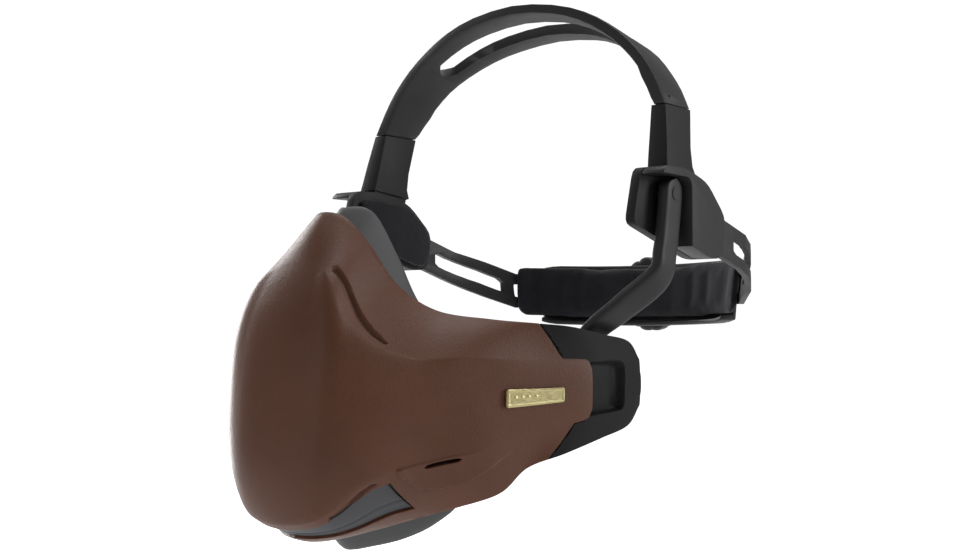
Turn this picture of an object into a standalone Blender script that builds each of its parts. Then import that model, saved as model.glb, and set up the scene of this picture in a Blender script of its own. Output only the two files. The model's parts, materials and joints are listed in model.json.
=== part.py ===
"""Half mask in a leather-look shell, carried on a rigid head harness.

Frame: +Z up, the wearer faces -Y, +X is the wearer's left. The origin is midway
between the two temple pivots. Lengths are in metres.
"""

import math

import bmesh
import bpy
from mathutils import Matrix, Vector

MM = 0.001

# ---- Driving dimensions -------------------------------------------------------
# Mask, measured on its outer surface
MASK_WIDTH = 132 * MM  # over the two arm ends
MASK_REACH = 134 * MM  # pivot line to the front of the mask
MASK_HEIGHT = 115 * MM  # upper rim to lower rim
MASK_MIDDLE_Z = -75 * MM  # height of the middle line under the pivots
COVER_WALL = 2.2 * MM
CHASSIS_WALL = 2.0 * MM
ARM_WALL = 4.6 * MM
FILTER_DEPTH = 4.0 * MM
SEAL_WALL = 1.6 * MM

# Harness
HEAD_HALF_WIDTH = 72.2 * MM  # centre plane to the inner face of a temple plate
PLATE_WALL = 4.0 * MM
HUB_DEPTH = 10.0 * MM
CROWN_HEIGHT = 86 * MM  # pivot line to the top of the crown band
CROWN_WALL = 4.6 * MM
CROWN_LEAN = math.radians(13)
CROWN_TRAVEL = 12 * MM
NAPE_REACH = 115 * MM  # pivot line to the back of the rear cradle
BAND_WALL = 2.6 * MM
NAPE_SLOPE = math.radians(15.5)
NAPE_TRAVEL = 12 * MM
PIVOT_RADIUS = 2.5 * MM
PIN_HEAD_RADIUS = 4.1 * MM
PIN_HEAD_DEPTH = 1.3 * MM
PAD_DEPTH = 3.0 * MM
LINK_WIDTH = 12 * MM
LINK_WALL = 5 * MM
KNOB_RADIUS = 18 * MM

# Clearances
GAP = 0.4 * MM  # between neighbouring pieces
FIT = 0.3 * MM  # round a pin, in a bore or a slot

# ---- Mask surface -------------------------------------------------------------
# Five lines run from the centre plane back along the left arm, in millimetres at
# the base size. Station 7 is where the arm end begins, station 10 its back edge.
UPPER_RIM = (
    (0, -107.5, -10), (8, -104.3, -12.2), (14.5, -98.5, -22), (21.5, -91, -36.5),
    (31, -80.5, -45.5), (44, -66, -48.5), (54, -50, -50), (60.5, -38, -51.2),
    (64, -22, -54), (65, -8, -56.5), (65.6, 0, -64),
)
UPPER_CREASE = (
    (0, -121.5, -29), (10, -121.6, -31), (19, -123, -37), (26.5, -119.5, -52),
    (36.5, -102, -62), (48, -80, -62.4), (57, -52, -63.5), (63.5, -31, -64),
    (65.4, -16, -64), (66.2, -6, -65), (66.4, 0, -68.5),
)
MIDDLE_LINE = (
    (0, -134, -75), (15.5, -133, -75), (24.5, -129.5, -75), (31, -120, -75.5),
    (39.5, -101, -76), (48.5, -79, -76), (57.8, -51.5, -75.5), (64.2, -31, -74.5),
    (66, -16, -74), (66.6, -6, -73.5), (66.8, 0, -73),
)
LOWER_CREASE = (
    (0, -130.5, -119.3), (13.5, -129, -118), (21.6, -125.7, -113.8),
    (31, -118.5, -104.3), (39.5, -98.5, -98.8), (48.5, -81, -95.5),
    (57, -52, -89), (63.5, -31, -85), (65.4, -16, -83.5), (66.2, -6, -82),
    (66.4, 0, -77.5),
)
LOWER_RIM = (
    (0, -104, -127), (12, -101, -125), (20, -97, -122.8), (28, -90, -119.8),
    (38, -79.5, -116.2), (49, -67, -111.2), (54, -57, -102.5), (60.5, -43, -98),
    (64.3, -24, -93), (65.3, -10, -89.5), (65.8, 0, -81),
)
CHIN_BULGE = 3.0
BASE_WIDTH = 132.0
BASE_REACH = 134.0
BASE_HEIGHT = 115.0
BASE_MIDDLE_Z = -75.0
LAST_STATION = 10


def along(points, s):
    """Point at station s of a smooth curve through the points, mirrored for s < 0."""
    side = -1.0 if s < 0 else 1.0
    s = min(abs(s), len(points) - 1.0)
    i = min(int(s), len(points) - 2)
    u = s - i
    inner = Vector(points[i])
    outer = Vector(points[i + 1])
    if i > 0:
        before = Vector(points[i - 1])
    else:
        before = Vector((-points[1][0], points[1][1], points[1][2]))
    after = Vector(points[i + 2]) if i + 2 < len(points) else 2 * outer - inner
    point = 0.5 * (
        2 * inner
        + (outer - before) * u
        + (2 * before - 5 * inner + 4 * outer - after) * u * u
        + (3 * inner - before - 3 * outer + after) * u ** 3
    )
    point.x *= side
    return point


def mask_point(s, t):
    """Outer surface: t 0-1 is the upper bevel, 1-2 the panel, 2-3 the lower bevel."""
    upper = along(UPPER_CREASE, s)
    lower = along(LOWER_CREASE, s)
    if t < 1:
        rim = along(UPPER_RIM, s)
        point = rim.lerp(upper, t)
        point.z += 1.2 * math.sin(math.pi * max(0.0, t))
    elif t > 2:
        rim = along(LOWER_RIM, s)
        point = lower.lerp(rim, t - 2)
        point.z -= (CHIN_BULGE * math.exp(-(s / 3) ** 2) + 0.6) * math.sin(math.pi * min(1.0, t - 2))
    else:
        bulge = along(MIDDLE_LINE, s) - 0.5 * (upper + lower)
        point = upper.lerp(lower, t - 1) + bulge * (1 - abs(2 * t - 3) ** 3)
    return Vector((
        point.x * MASK_WIDTH / BASE_WIDTH,
        point.y * MASK_REACH / BASE_REACH,
        (point.z - BASE_MIDDLE_Z) * MASK_HEIGHT / BASE_HEIGHT + MASK_MIDDLE_Z,
    ))


def inward(s, t):
    """Unit vector into the mask, blended over the creases."""
    step_s = 0.12
    step_t = 0.1
    s = max(-LAST_STATION + step_s, min(LAST_STATION - step_s, s))
    across = mask_point(s + step_s, t) - mask_point(s - step_s, t)
    down = mask_point(s, t + step_t) - mask_point(s, t - step_t)
    return across.cross(down).normalized()


def in_mask(s, t, depth):
    """Point at a depth under the mask's outer surface."""
    return mask_point(s, t) + inward(s, t) * depth


# ---- Helpers ------------------------------------------------------------------
def new_collection(name, hidden=False):
    collection = bpy.data.collections.new(name)
    bpy.context.scene.collection.children.link(collection)
    collection.hide_render = hidden
    return collection


def material(name, colour, roughness, metallic=0.0):
    made = bpy.data.materials.new(name)
    made.use_nodes = True
    shader = made.node_tree.nodes["Principled BSDF"]
    shader.inputs["Base Color"].default_value = (*colour, 1.0)
    shader.inputs["Roughness"].default_value = roughness
    shader.inputs["Metallic"].default_value = metallic
    return made


def add_object(name, mesh_builder, look=None, sharp=30):
    """Turns a bmesh into a named object, as a part with a look or else as a cutter."""
    bmesh.ops.remove_doubles(mesh_builder, verts=mesh_builder.verts, dist=1e-6)
    bmesh.ops.recalc_face_normals(mesh_builder, faces=mesh_builder.faces)
    mesh = bpy.data.meshes.new(name)
    mesh_builder.to_mesh(mesh)
    mesh_builder.free()
    mesh.shade_smooth()
    mesh.set_sharp_from_angle(angle=math.radians(sharp))
    obj = bpy.data.objects.new(name, mesh)
    if look:
        parts.objects.link(obj)
        mesh.materials.append(material(name, *look))
    else:
        cutters.objects.link(obj)
        obj.hide_render = True
        obj.display_type = "WIRE"
    return obj


def slab(name, outer, inner, look=None):
    """Closed sheet between two grids of points, with a rim all round."""
    builder = bmesh.new()
    front = [[builder.verts.new(point) for point in row] for row in outer]
    back = [[builder.verts.new(point) for point in row] for row in inner]
    last = len(front) - 1
    end = len(front[0]) - 1
    for i in range(last):
        for j in range(end):
            builder.faces.new((front[i][j], front[i][j + 1], front[i + 1][j + 1], front[i + 1][j]))
            builder.faces.new((back[i][j], back[i + 1][j], back[i + 1][j + 1], back[i][j + 1]))
        builder.faces.new((front[i][0], front[i + 1][0], back[i + 1][0], back[i][0]))
        builder.faces.new((front[i][end], back[i][end], back[i + 1][end], front[i + 1][end]))
    for j in range(end):
        builder.faces.new((front[0][j], back[0][j], back[0][j + 1], front[0][j + 1]))
        builder.faces.new((front[last][j], front[last][j + 1], back[last][j + 1], back[last][j]))
    return add_object(name, builder, look)


def ring(name, sections, look=None):
    """Closed tube: the loop of points in each section is joined to the next, round and round."""
    builder = bmesh.new()
    loops = [[builder.verts.new(point) for point in section] for section in sections]
    for i, loop in enumerate(loops):
        following = loops[(i + 1) % len(loops)]
        for j in range(len(loop)):
            k = (j + 1) % len(loop)
            builder.faces.new((loop[j], loop[k], following[k], following[j]))
    return add_object(name, builder, look)


def span(first, last, steps):
    return [first + (last - first) * i / steps for i in range(steps + 1)]


def mask_block(name, stations, rows, shallow, deep, look=None):
    """Block of the mask's form between two depths; rows(s) gives its t values at s."""
    outer = [[in_mask(s, t, shallow) for t in rows(s)] for s in stations]
    inner = [[in_mask(s, t, deep) for t in rows(s)] for s in stations]
    return slab(name, outer, inner, look)


def mask_channel(name, path, widths, shallow, deep, look=None):
    """Bar that follows a path of (s, t) points over the mask, with a width at each."""
    outer = []
    inner = []
    for i, (s, t) in enumerate(path):
        before = path[max(0, i - 1)]
        after = path[min(len(path) - 1, i + 1)]
        run = mask_point(*after) - mask_point(*before)
        side = run.cross(inward(s, t)).normalized() * widths[i] / 2
        outer.append([in_mask(s, t, shallow) - side, in_mask(s, t, shallow) + side])
        inner.append([in_mask(s, t, deep) - side, in_mask(s, t, deep) + side])
    return slab(name, outer, inner, look)


def rounded(corners, radii, steps=3):
    """Closed outline with each corner rounded by its own radius."""
    outline = []
    count = len(corners)
    for i, corner in enumerate(corners):
        corner = Vector(corner)
        to_before = (Vector(corners[i - 1]) - corner).normalized()
        to_after = (Vector(corners[(i + 1) % count]) - corner).normalized()
        start = corner + to_before * radii[i]
        end = corner + to_after * radii[i]
        for k in range(steps + 1):
            u = k / steps
            outline.append((1 - u) ** 2 * start + 2 * u * (1 - u) * corner + u * u * end)
    return outline


def plate(name, outline, near_x, far_x, look=None):
    """Outline in (y, z), extruded along X; the two faces may be functions of y."""
    builder = bmesh.new()
    near = [builder.verts.new((near_x(p.x), p.x, p.y)) for p in outline]
    far = [builder.verts.new((far_x(p.x), p.x, p.y)) for p in outline]
    builder.faces.new(near)
    builder.faces.new(list(reversed(far)))
    for i in range(len(outline)):
        k = (i + 1) % len(outline)
        builder.faces.new((near[k], near[i], far[i], far[k]))
    return add_object(name, builder, look)


def cylinder(name, radius, start, end, look=None, sides=20):
    """Round bar from one point to another."""
    builder = bmesh.new()
    axis = end - start
    turn = axis.to_track_quat("Z", "Y").to_matrix().to_4x4()
    place = Matrix.Translation((start + end) / 2) @ turn
    bmesh.ops.create_cone(
        builder, cap_ends=True, segments=sides, radius1=radius,
        radius2=radius, depth=axis.length, matrix=place,
    )
    return add_object(name, builder, look)


def turned(name, profile, place, look, steps=24):
    """Solid of revolution about Z from (radius, height) points, top to bottom."""
    builder = bmesh.new()
    points = [builder.verts.new((radius, 0, height)) for radius, height in profile]
    for upper, lower in zip(points, points[1:]):
        builder.edges.new((upper, lower))
    mesh = bpy.data.meshes.new(name)
    builder.to_mesh(mesh)
    builder.free()
    obj = bpy.data.objects.new(name, mesh)
    parts.objects.link(obj)
    mesh.materials.append(material(name, *look))
    obj.matrix_world = place
    screw = obj.modifiers.new("Turn", "SCREW")
    screw.steps = steps
    screw.render_steps = steps
    screw.use_merge_vertices = True
    screw.merge_threshold = 0.00001
    return obj


def cut(obj, cutter, operation="DIFFERENCE"):
    boolean = obj.modifiers.new(f"{operation.title()} {cutter.name}", "BOOLEAN")
    boolean.object = cutter
    boolean.operation = operation
    boolean.solver = "EXACT"


def soften(obj, width, segments=2):
    bevel = obj.modifiers.new("Soft edges", "BEVEL")
    bevel.width = width
    bevel.segments = segments
    bevel.limit_method = "ANGLE"
    bevel.angle_limit = math.radians(40)
    bevel.use_clamp_overlap = True


def mirrored(point, side):
    return Vector((side * point[0], point[1], point[2]))


# ---- Start from an empty scene ------------------------------------------------
for leftover in list(bpy.data.objects):
    bpy.data.objects.remove(leftover, do_unlink=True)
parts = new_collection("respirator_mask")
cutters = new_collection("cutters", hidden=True)

BROWN = ((0.071, 0.030, 0.019), 0.45)
CHARCOAL = ((0.021, 0.021, 0.023), 0.5)
DARK = ((0.010, 0.010, 0.011), 0.55)
GREY_RUBBER = ((0.105, 0.107, 0.110), 0.6)
PAD_BLACK = ((0.009, 0.008, 0.011), 0.8)
FILTER_WHITE = ((0.70, 0.70, 0.66), 0.9)
BRASS = ((0.37, 0.33, 0.15), 0.3, 0.9)
STEEL = ((0.45, 0.45, 0.46), 0.35, 1.0)
SIDES = (("left", 1), ("right", -1))

# ---- Depths of the mask's layers ---------------------------------------------
CHASSIS_TOP = COVER_WALL + GAP
CHASSIS_BOTTOM = CHASSIS_TOP + CHASSIS_WALL
FILTER_TOP = CHASSIS_TOP + GAP
FILTER_BOTTOM = FILTER_TOP + FILTER_DEPTH
FRAME_TOP = FILTER_BOTTOM + GAP
FRAME_BOTTOM = FRAME_TOP + 1.6 * MM
LAP_TOP = CHASSIS_BOTTOM + GAP
LAP_BOTTOM = LAP_TOP + 2.0 * MM

UPPER_END = (6.0, 6.4)  # stations where the brown upper bevel ends, rim and crease
LOWER_END = (6.65, 6.55)  # the same for the lower bevel
TONGUE_END = 7.05  # where the panel ends
ARM_START = 5.3  # front end of the arm's visible thickness
LAP_START = 4.55  # front end of the arm's lap behind the chassis
CHASSIS_END = 5.2


def panel_and_bevels(top, foot):
    """Row values from top to foot, with a row on each crease that lies between them."""
    upper = span(top, 1.0 if top < 0.9 else top + 0.06, 3)
    lower = span(2.0 if foot > 2.1 else foot - 0.06, foot, 3)
    return [*upper[:-1], *span(upper[-1], lower[0], 6), *lower[1:]]


def bevel_ends(s):
    """Top and foot of the cover at s: each bevel ends on a slant and the panel runs on."""
    top = min(0.95, max(0.0, (abs(s) - UPPER_END[0]) / (UPPER_END[1] - UPPER_END[0])))
    run = (LOWER_END[0] - abs(s)) / (LOWER_END[0] - LOWER_END[1])
    return top, 2.05 + 0.95 * min(1.0, max(0.0, run))


def cover_rows(s):
    top, foot = bevel_ends(s)
    corner = max(0.0, abs(s) - TONGUE_END + 0.2) * 0.9
    return panel_and_bevels(top + corner, foot - corner)


def both_ways(stations):
    return [-s for s in reversed(stations) if s > 0] + stations


# ---- Front cover, the brown shell --------------------------------------------
front = [0, 0.5, 1, 1.5, 2, 2.4, 2.8, 3.2, 3.6, 4, 4.5, 5, 5.5, 6.0, 6.2, 6.4, 6.53, 6.56, 6.62,
         6.68, 6.85, 6.95, TONGUE_END]
cover = mask_block("front_cover", both_ways(front), cover_rows, 0.0, COVER_WALL, BROWN)

NOSE_GROOVE = ((1.9, 0.79), (2.24, 0.78), (2.68, 0.79), (3.06, 0.85), (3.31, 0.89), (3.54, 0.92))
CHIN_GROOVE = ((1.85, 2.12), (2.35, 2.12), (2.7, 2.11), (3.05, 2.09))
AIR_SLOT = ((4.0, 2.06), (4.35, 2.06), (4.71, 2.07))
GROOVE_DEPTH = 1.3 * MM
for side_name, side in SIDES:
    groove = [(side * s, t) for s, t in NOSE_GROOVE]
    widths = [w * MM for w in (1.2, 2.6, 2.8, 2.8, 2.4, 0.9)]
    cut(cover, mask_channel(f"nose_groove_{side_name}", groove, widths, -2 * MM, GROOVE_DEPTH))
    groove = [(side * s, t) for s, t in CHIN_GROOVE]
    widths = [w * MM for w in (0.9, 2.0, 2.0, 0.8)]
    cut(cover, mask_channel(f"chin_groove_{side_name}", groove, widths, -2 * MM, GROOVE_DEPTH))
    slot = [(side * s, t) for s, t in AIR_SLOT]
    cut(cover, mask_channel(
        f"air_slot_{side_name}", slot, [1.5 * MM] * 3, -3 * MM, COVER_WALL + 2 * MM))

# ---- Chin vent: one ribbed strip that fills a window across the cover ---------
VENT_END = 3.3


def vent_rows(margin):
    def rows(s):
        share = min(1.0, abs(s) / VENT_END)
        top = 2.15 + 0.02 * share + margin
        foot = 2.34 + 0.38 * share - margin
        return span(top, foot, 2)
    return rows


vent_stations = both_ways(span(0, VENT_END, 6))
cut(cover, mask_block(
    "vent_window", both_ways(span(0, VENT_END + 0.06, 6)), vent_rows(-0.02),
    -3 * MM, COVER_WALL + 3 * MM))
mask_block("chin_vent", vent_stations, vent_rows(0.0), 0.8 * MM, COVER_WALL, GREY_RUBBER)

# ---- Badge --------------------------------------------------------------------
BADGE_DEPTH = 1.2 * MM
mask_block(
    "badge", span(5.39, 6.34, 4), lambda s: span(1.43, 1.65, 2), -GAP - BADGE_DEPTH, -GAP, BRASS)

# ---- Chassis, the inner frame -------------------------------------------------
chassis_stations = both_ways([0, 0.5, 1, 1.5, 2, 2.4, 2.8, 3.2, 3.6, 4, 4.5, 5, CHASSIS_END])
CHASSIS_ROWS = panel_and_bevels(0, 3)[1:-1]
chassis = mask_block(
    "chassis", chassis_stations, lambda s: CHASSIS_ROWS, CHASSIS_TOP, CHASSIS_BOTTOM, CHARCOAL)

VALVE_RADIUS = 8 * MM
VALVE_CLEARANCE = 3.8 * MM
FILTER_STATIONS = (0.5, 3.3)
FILTER_ROWS = (1.25, 1.8)
for side_name, side in SIDES:
    inner_s, outer_s = FILTER_STATIONS
    stations = [side * s for s in span(inner_s, outer_s, 7)]
    wide = [side * s for s in span(inner_s - 0.06, outer_s + 0.06, 7)]
    window_rows = span(FILTER_ROWS[0] - 0.02, FILTER_ROWS[1] + 0.02, 4)
    window = mask_block(
        f"filter_window_{side_name}", wide, lambda s: window_rows,
        CHASSIS_TOP - 1.5 * MM, CHASSIS_BOTTOM + 1.5 * MM)
    cut(chassis, window)
    mask_block(
        f"filter_pad_{side_name}", stations, lambda s: span(*FILTER_ROWS, 4),
        FILTER_TOP, FILTER_BOTTOM, FILTER_WHITE)
    holder = mask_block(
        f"filter_holder_{side_name}", [side * s for s in span(inner_s - 0.2, outer_s + 0.2, 8)],
        lambda s: span(FILTER_ROWS[0] - 0.06, FILTER_ROWS[1] + 0.06, 5),
        FRAME_TOP, FRAME_BOTTOM, CHARCOAL)
    centre = (inner_s + outer_s) / 2 * side
    hub = in_mask(centre, 1.5, FRAME_TOP)
    through = inward(centre, 1.5)
    cut(holder, cylinder(
        f"inhale_port_{side_name}", 6 * MM, hub - through * 2 * MM, hub + through * 4 * MM))
    disc = in_mask(centre, 1.5, FRAME_BOTTOM) + through * VALVE_CLEARANCE
    cylinder(
        f"inhale_valve_{side_name}", VALVE_RADIUS, disc, disc + through * MM, GREY_RUBBER, sides=24)

# ---- Exhale valve, low in the middle of the chassis ---------------------------
EXHALE_T = 2.22
exhale_axis = inward(0, EXHALE_T)
exhale_centre = in_mask(0, EXHALE_T, CHASSIS_BOTTOM)
EXHALE_RADIUS = 5.5 * MM
cut(chassis, cylinder(
    "exhale_port", EXHALE_RADIUS, exhale_centre - exhale_axis * 4 * MM,
    exhale_centre + exhale_axis * 3 * MM))
seat = cylinder(
    "exhale_seat", EXHALE_RADIUS + 2 * MM, exhale_centre + exhale_axis * 2.5 * MM,
    exhale_centre + exhale_axis * 3.4 * MM, CHARCOAL, sides=24)
cut(seat, cylinder(
    "exhale_bore", EXHALE_RADIUS - MM, exhale_centre - exhale_axis * MM,
    exhale_centre + exhale_axis * 6 * MM))
cylinder(
    "exhale_valve", EXHALE_RADIUS - FIT, exhale_centre - exhale_axis * 0.2 * MM,
    exhale_centre + exhale_axis * 0.8 * MM, GREY_RUBBER, sides=24)

# ---- Side arms, with the D-shaped ends ----------------------------------------
ARM_LAP_DEPTH = LAP_BOTTOM
SCREW_RADIUS = 1.2 * MM
SCREW_HEAD = 2.4 * MM
SCREW_STATION = 4.88
SCREW_ROWS = (1.25, 1.75)
RECESS_END = 8.45  # back edge of the recess that the cover's tongue lies in
POCKET_MARGIN = 0.035
END_MARGIN = 0.03


def arm_rows(s):
    margin = 0.55 if abs(s) < ARM_START - 0.01 else 0.0
    return [margin, 0.5 + margin / 3, 1.0, 1.25, 1.5, 1.75, 2.0, 2.5 - margin / 3, 3.0 - margin]


def arm_top(s):
    """Depth of the outer face: the lap lies behind the chassis, the arm end flush."""
    return LAP_TOP if abs(s) < ARM_START - 0.01 else 0.0


def arm_depth(s):
    share = min(1.0, max(0.0, (abs(s) - 6.2) / 1.3))
    return ARM_LAP_DEPTH + (ARM_WALL - ARM_LAP_DEPTH) * share


def pocket_rows(s):
    """The cover's own outline, opened a little, and carried on past its tongue."""
    top, foot = bevel_ends(abs(s) - END_MARGIN)
    corner = max(0.0, abs(s) - RECESS_END + 0.25) * 0.6
    above, below = 0.2, 0.2
    if top > 0:
        top += corner - POCKET_MARGIN
        above = 0.01
    if foot < 3:
        foot -= corner - POCKET_MARGIN
        below = 0.01
    return [top - above, *panel_and_bevels(top, foot), foot + below]


arm_stations = [LAP_START, 4.9, 5.28, ARM_START, 5.7, 6.1, 6.5, 6.9, 7.3, 7.6, 8.0, 8.4, 8.8, 9.2,
                9.6, 9.85, 10]
pocket_stations = [4.3, 4.9, *[s + END_MARGIN for s in front if s >= 5], 7.6, 8.0,
                   RECESS_END - 0.25, RECESS_END - 0.1, RECESS_END]
for side_name, side in SIDES:
    signed = [side * s for s in arm_stations]
    outer = [[in_mask(s, t, arm_top(s)) for t in arm_rows(s)] for s in signed]
    inner = [[in_mask(s, t, arm_depth(s)) for t in arm_rows(s)] for s in signed]
    arm = slab(f"side_arm_{side_name}", outer, inner, CHARCOAL)
    cut(arm, mask_block(
        f"cover_pocket_{side_name}", [side * s for s in pocket_stations], pocket_rows,
        -3 * MM, CHASSIS_TOP))
    for row in SCREW_ROWS:
        s = side * SCREW_STATION
        axis = inward(s, row)
        top = in_mask(s, row, CHASSIS_TOP + GAP)
        bore = cylinder(
            f"screw_bore_{side_name}_{row}", SCREW_RADIUS + FIT, in_mask(s, row, 0) - axis * MM,
            in_mask(s, row, 0) + axis * (LAP_BOTTOM + 3 * MM), sides=12)
        cut(arm, bore)
        cut(chassis, bore)
        height = LAP_BOTTOM - CHASSIS_TOP - GAP + FIT
        turn = (-axis).to_track_quat("Z", "Y").to_matrix().to_4x4()
        place = Matrix.Translation(top + axis * height) @ turn
        number = "upper" if row < 1.5 else "lower"
        turned(f"arm_screw_{side_name}_{number}", [
            (0, height), (SCREW_RADIUS, height), (SCREW_RADIUS, 0), (SCREW_HEAD, 0),
            (SCREW_HEAD, -1.2 * MM), (0, -1.2 * MM)], place, STEEL, steps=12)

# ---- Face seal ----------------------------------------------------------------
SEAL_RIM = (
    (0, 0.44), (1, 0.44), (2, 0.45), (3, 0.5), (3.7, 0.65), (4.1, 0.95), (4.25, 1.5),
    (4.1, 2.1), (3.7, 2.35), (3, 2.45), (2, 2.52), (1, 2.6), (0, 2.6),
)
FACE_LINE = (
    (0, -96.5, -7.5), (7.5, -90, -9), (13, -82.5, -25), (20.5, -79, -42), (29, -71, -56),
    (36, -64, -67), (39, -61, -80), (37, -63, -96), (33, -69, -114), (26, -76.5, -123),
    (17.5, -84, -128.3), (8.5, -90.5, -131), (0, -94, -132.5),
)
SEAL_TOP = CHASSIS_BOTTOM + 2 * GAP
SEAL_SAG = 4.5 * MM  # how far the seal draws in under the chin before it turns out


def face_point(point):
    return Vector((
        point[0] * MASK_WIDTH / BASE_WIDTH,
        point[1] * MASK_REACH / BASE_REACH,
        (point[2] - BASE_MIDDLE_Z) * MASK_HEIGHT / BASE_HEIGHT + MASK_MIDDLE_Z,
    ))


def seal_section(index, side):
    """Outer face from the chassis rim to the face line, then the lip and the inner face."""
    s, t = SEAL_RIM[index]
    rim = in_mask(s, t, SEAL_TOP)
    face = face_point(FACE_LINE[index])
    out = Vector((rim.x, 0, rim.z - MASK_MIDDLE_Z)).normalized()
    back = Vector((0, 1, 0))
    middle = rim.lerp(face, 0.5) - out * SEAL_SAG * max(0.0, -out.z)
    lip = face - out * 5 * MM + back * 1.5 * MM
    wall = SEAL_WALL
    loop = [
        rim, middle, face, lip, lip - back * wall, face - out * wall * 1.4 - back * wall,
        middle - out * wall * 1.3, rim - out * wall * 1.6 + back * 0.6 * MM,
    ]
    return [Vector((side * p.x, p.y, p.z)) for p in loop]


left_half = [seal_section(i, 1) for i in range(len(SEAL_RIM))]
right_half = [seal_section(i, -1) for i in range(len(SEAL_RIM) - 2, 0, -1)]
ring("face_seal", left_half + right_half, GREY_RUBBER)


# ---- Harness: temple frames, hub covers, pads ---------------------------------
HUB_OUTLINE = rounded(
    [(-14 * MM, 10 * MM), (-20 * MM, -12 * MM), (2 * MM, -18 * MM), (24 * MM, -24 * MM),
     (35 * MM, -23.5 * MM), (38 * MM, -7 * MM), (22 * MM, 6 * MM), (5 * MM, 10 * MM)],
    [4.5 * MM, 3.5 * MM, 6 * MM, 5 * MM, 5 * MM, 5 * MM, 5 * MM, 5 * MM])
PLATE_OUTER = HEAD_HALF_WIDTH + PLATE_WALL
COVER_INNER = PLATE_OUTER + GAP
COVER_OUTER = COVER_INNER + HUB_DEPTH
SEAM_Z = 36 * MM
LEG_FOOT_Z = 10.8 * MM
LEG_FLARE = 4 * MM  # how far the leg's foot spreads to the rear
PRONG_WIDTH = 11 * MM
PRONG_WALL = 1.8 * MM
PRONG_LENGTH = CROWN_TRAVEL + 6 * MM
PRONG_X = HEAD_HALF_WIDTH + 1.2 * MM  # inner face of the prong
lean = Vector((0, math.sin(CROWN_LEAN), math.cos(CROWN_LEAN)))
BAND_X = COVER_INNER + 2.2 * MM  # inner face of the rear band in its slot
BAND_HEIGHT = 15 * MM
band_run = Vector((0, math.cos(NAPE_SLOPE), -math.sin(NAPE_SLOPE)))
band_rise = Vector((0, math.sin(NAPE_SLOPE), math.cos(NAPE_SLOPE)))
BAND_START = Vector((0, 27 * MM, -11.5 * MM))  # front end of the band's middle line
BAND_STRAIGHT = 31 * MM  # straight run from there, so that it slides in the hub's slot


def hub_outer_x(y):
    """The outer face runs in towards the rear band."""
    return COVER_OUTER - (y + 20 * MM) * 0.05


def leg_row(z_front, z_rear, inner_x, outer_x, side, inset=0.0, flare=0.0):
    """Front and rear corner of the leg at a height, on its inner and outer face."""
    front_y = -2.2 * MM + (z_front - LEG_FOOT_Z) * 0.22 + inset
    rear_y = 17.6 * MM + (z_rear - LEG_FOOT_Z) * 0.25 - inset + flare
    inner = [(side * inner_x, front_y, z_front), (side * inner_x, rear_y, z_rear)]
    outer = [(side * outer_x, front_y, z_front), (side * (outer_x - 0.8 * MM), rear_y, z_rear)]
    return inner, outer


def seam_middle():
    inner, outer = leg_row(SEAM_Z, SEAM_Z, 0, 0, 1)
    return (Vector(inner[0]) + Vector(inner[1])) / 2


def prong_section(along_lean, margin, side, back=0.0):
    """Inner and outer pair of points of the prong, a distance down from the seam."""
    middle = seam_middle() - lean * along_lean
    half = (PRONG_WIDTH / 2 + margin) * Vector((0, math.cos(CROWN_LEAN), -math.sin(CROWN_LEAN)))
    near = side * (PRONG_X - margin)
    far = side * (PRONG_X + PRONG_WALL + margin)
    ends = [middle - half, middle + half]
    return ([(near, p.y, p.z) for p in ends], [(far, p.y, p.z) for p in ends])


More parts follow.
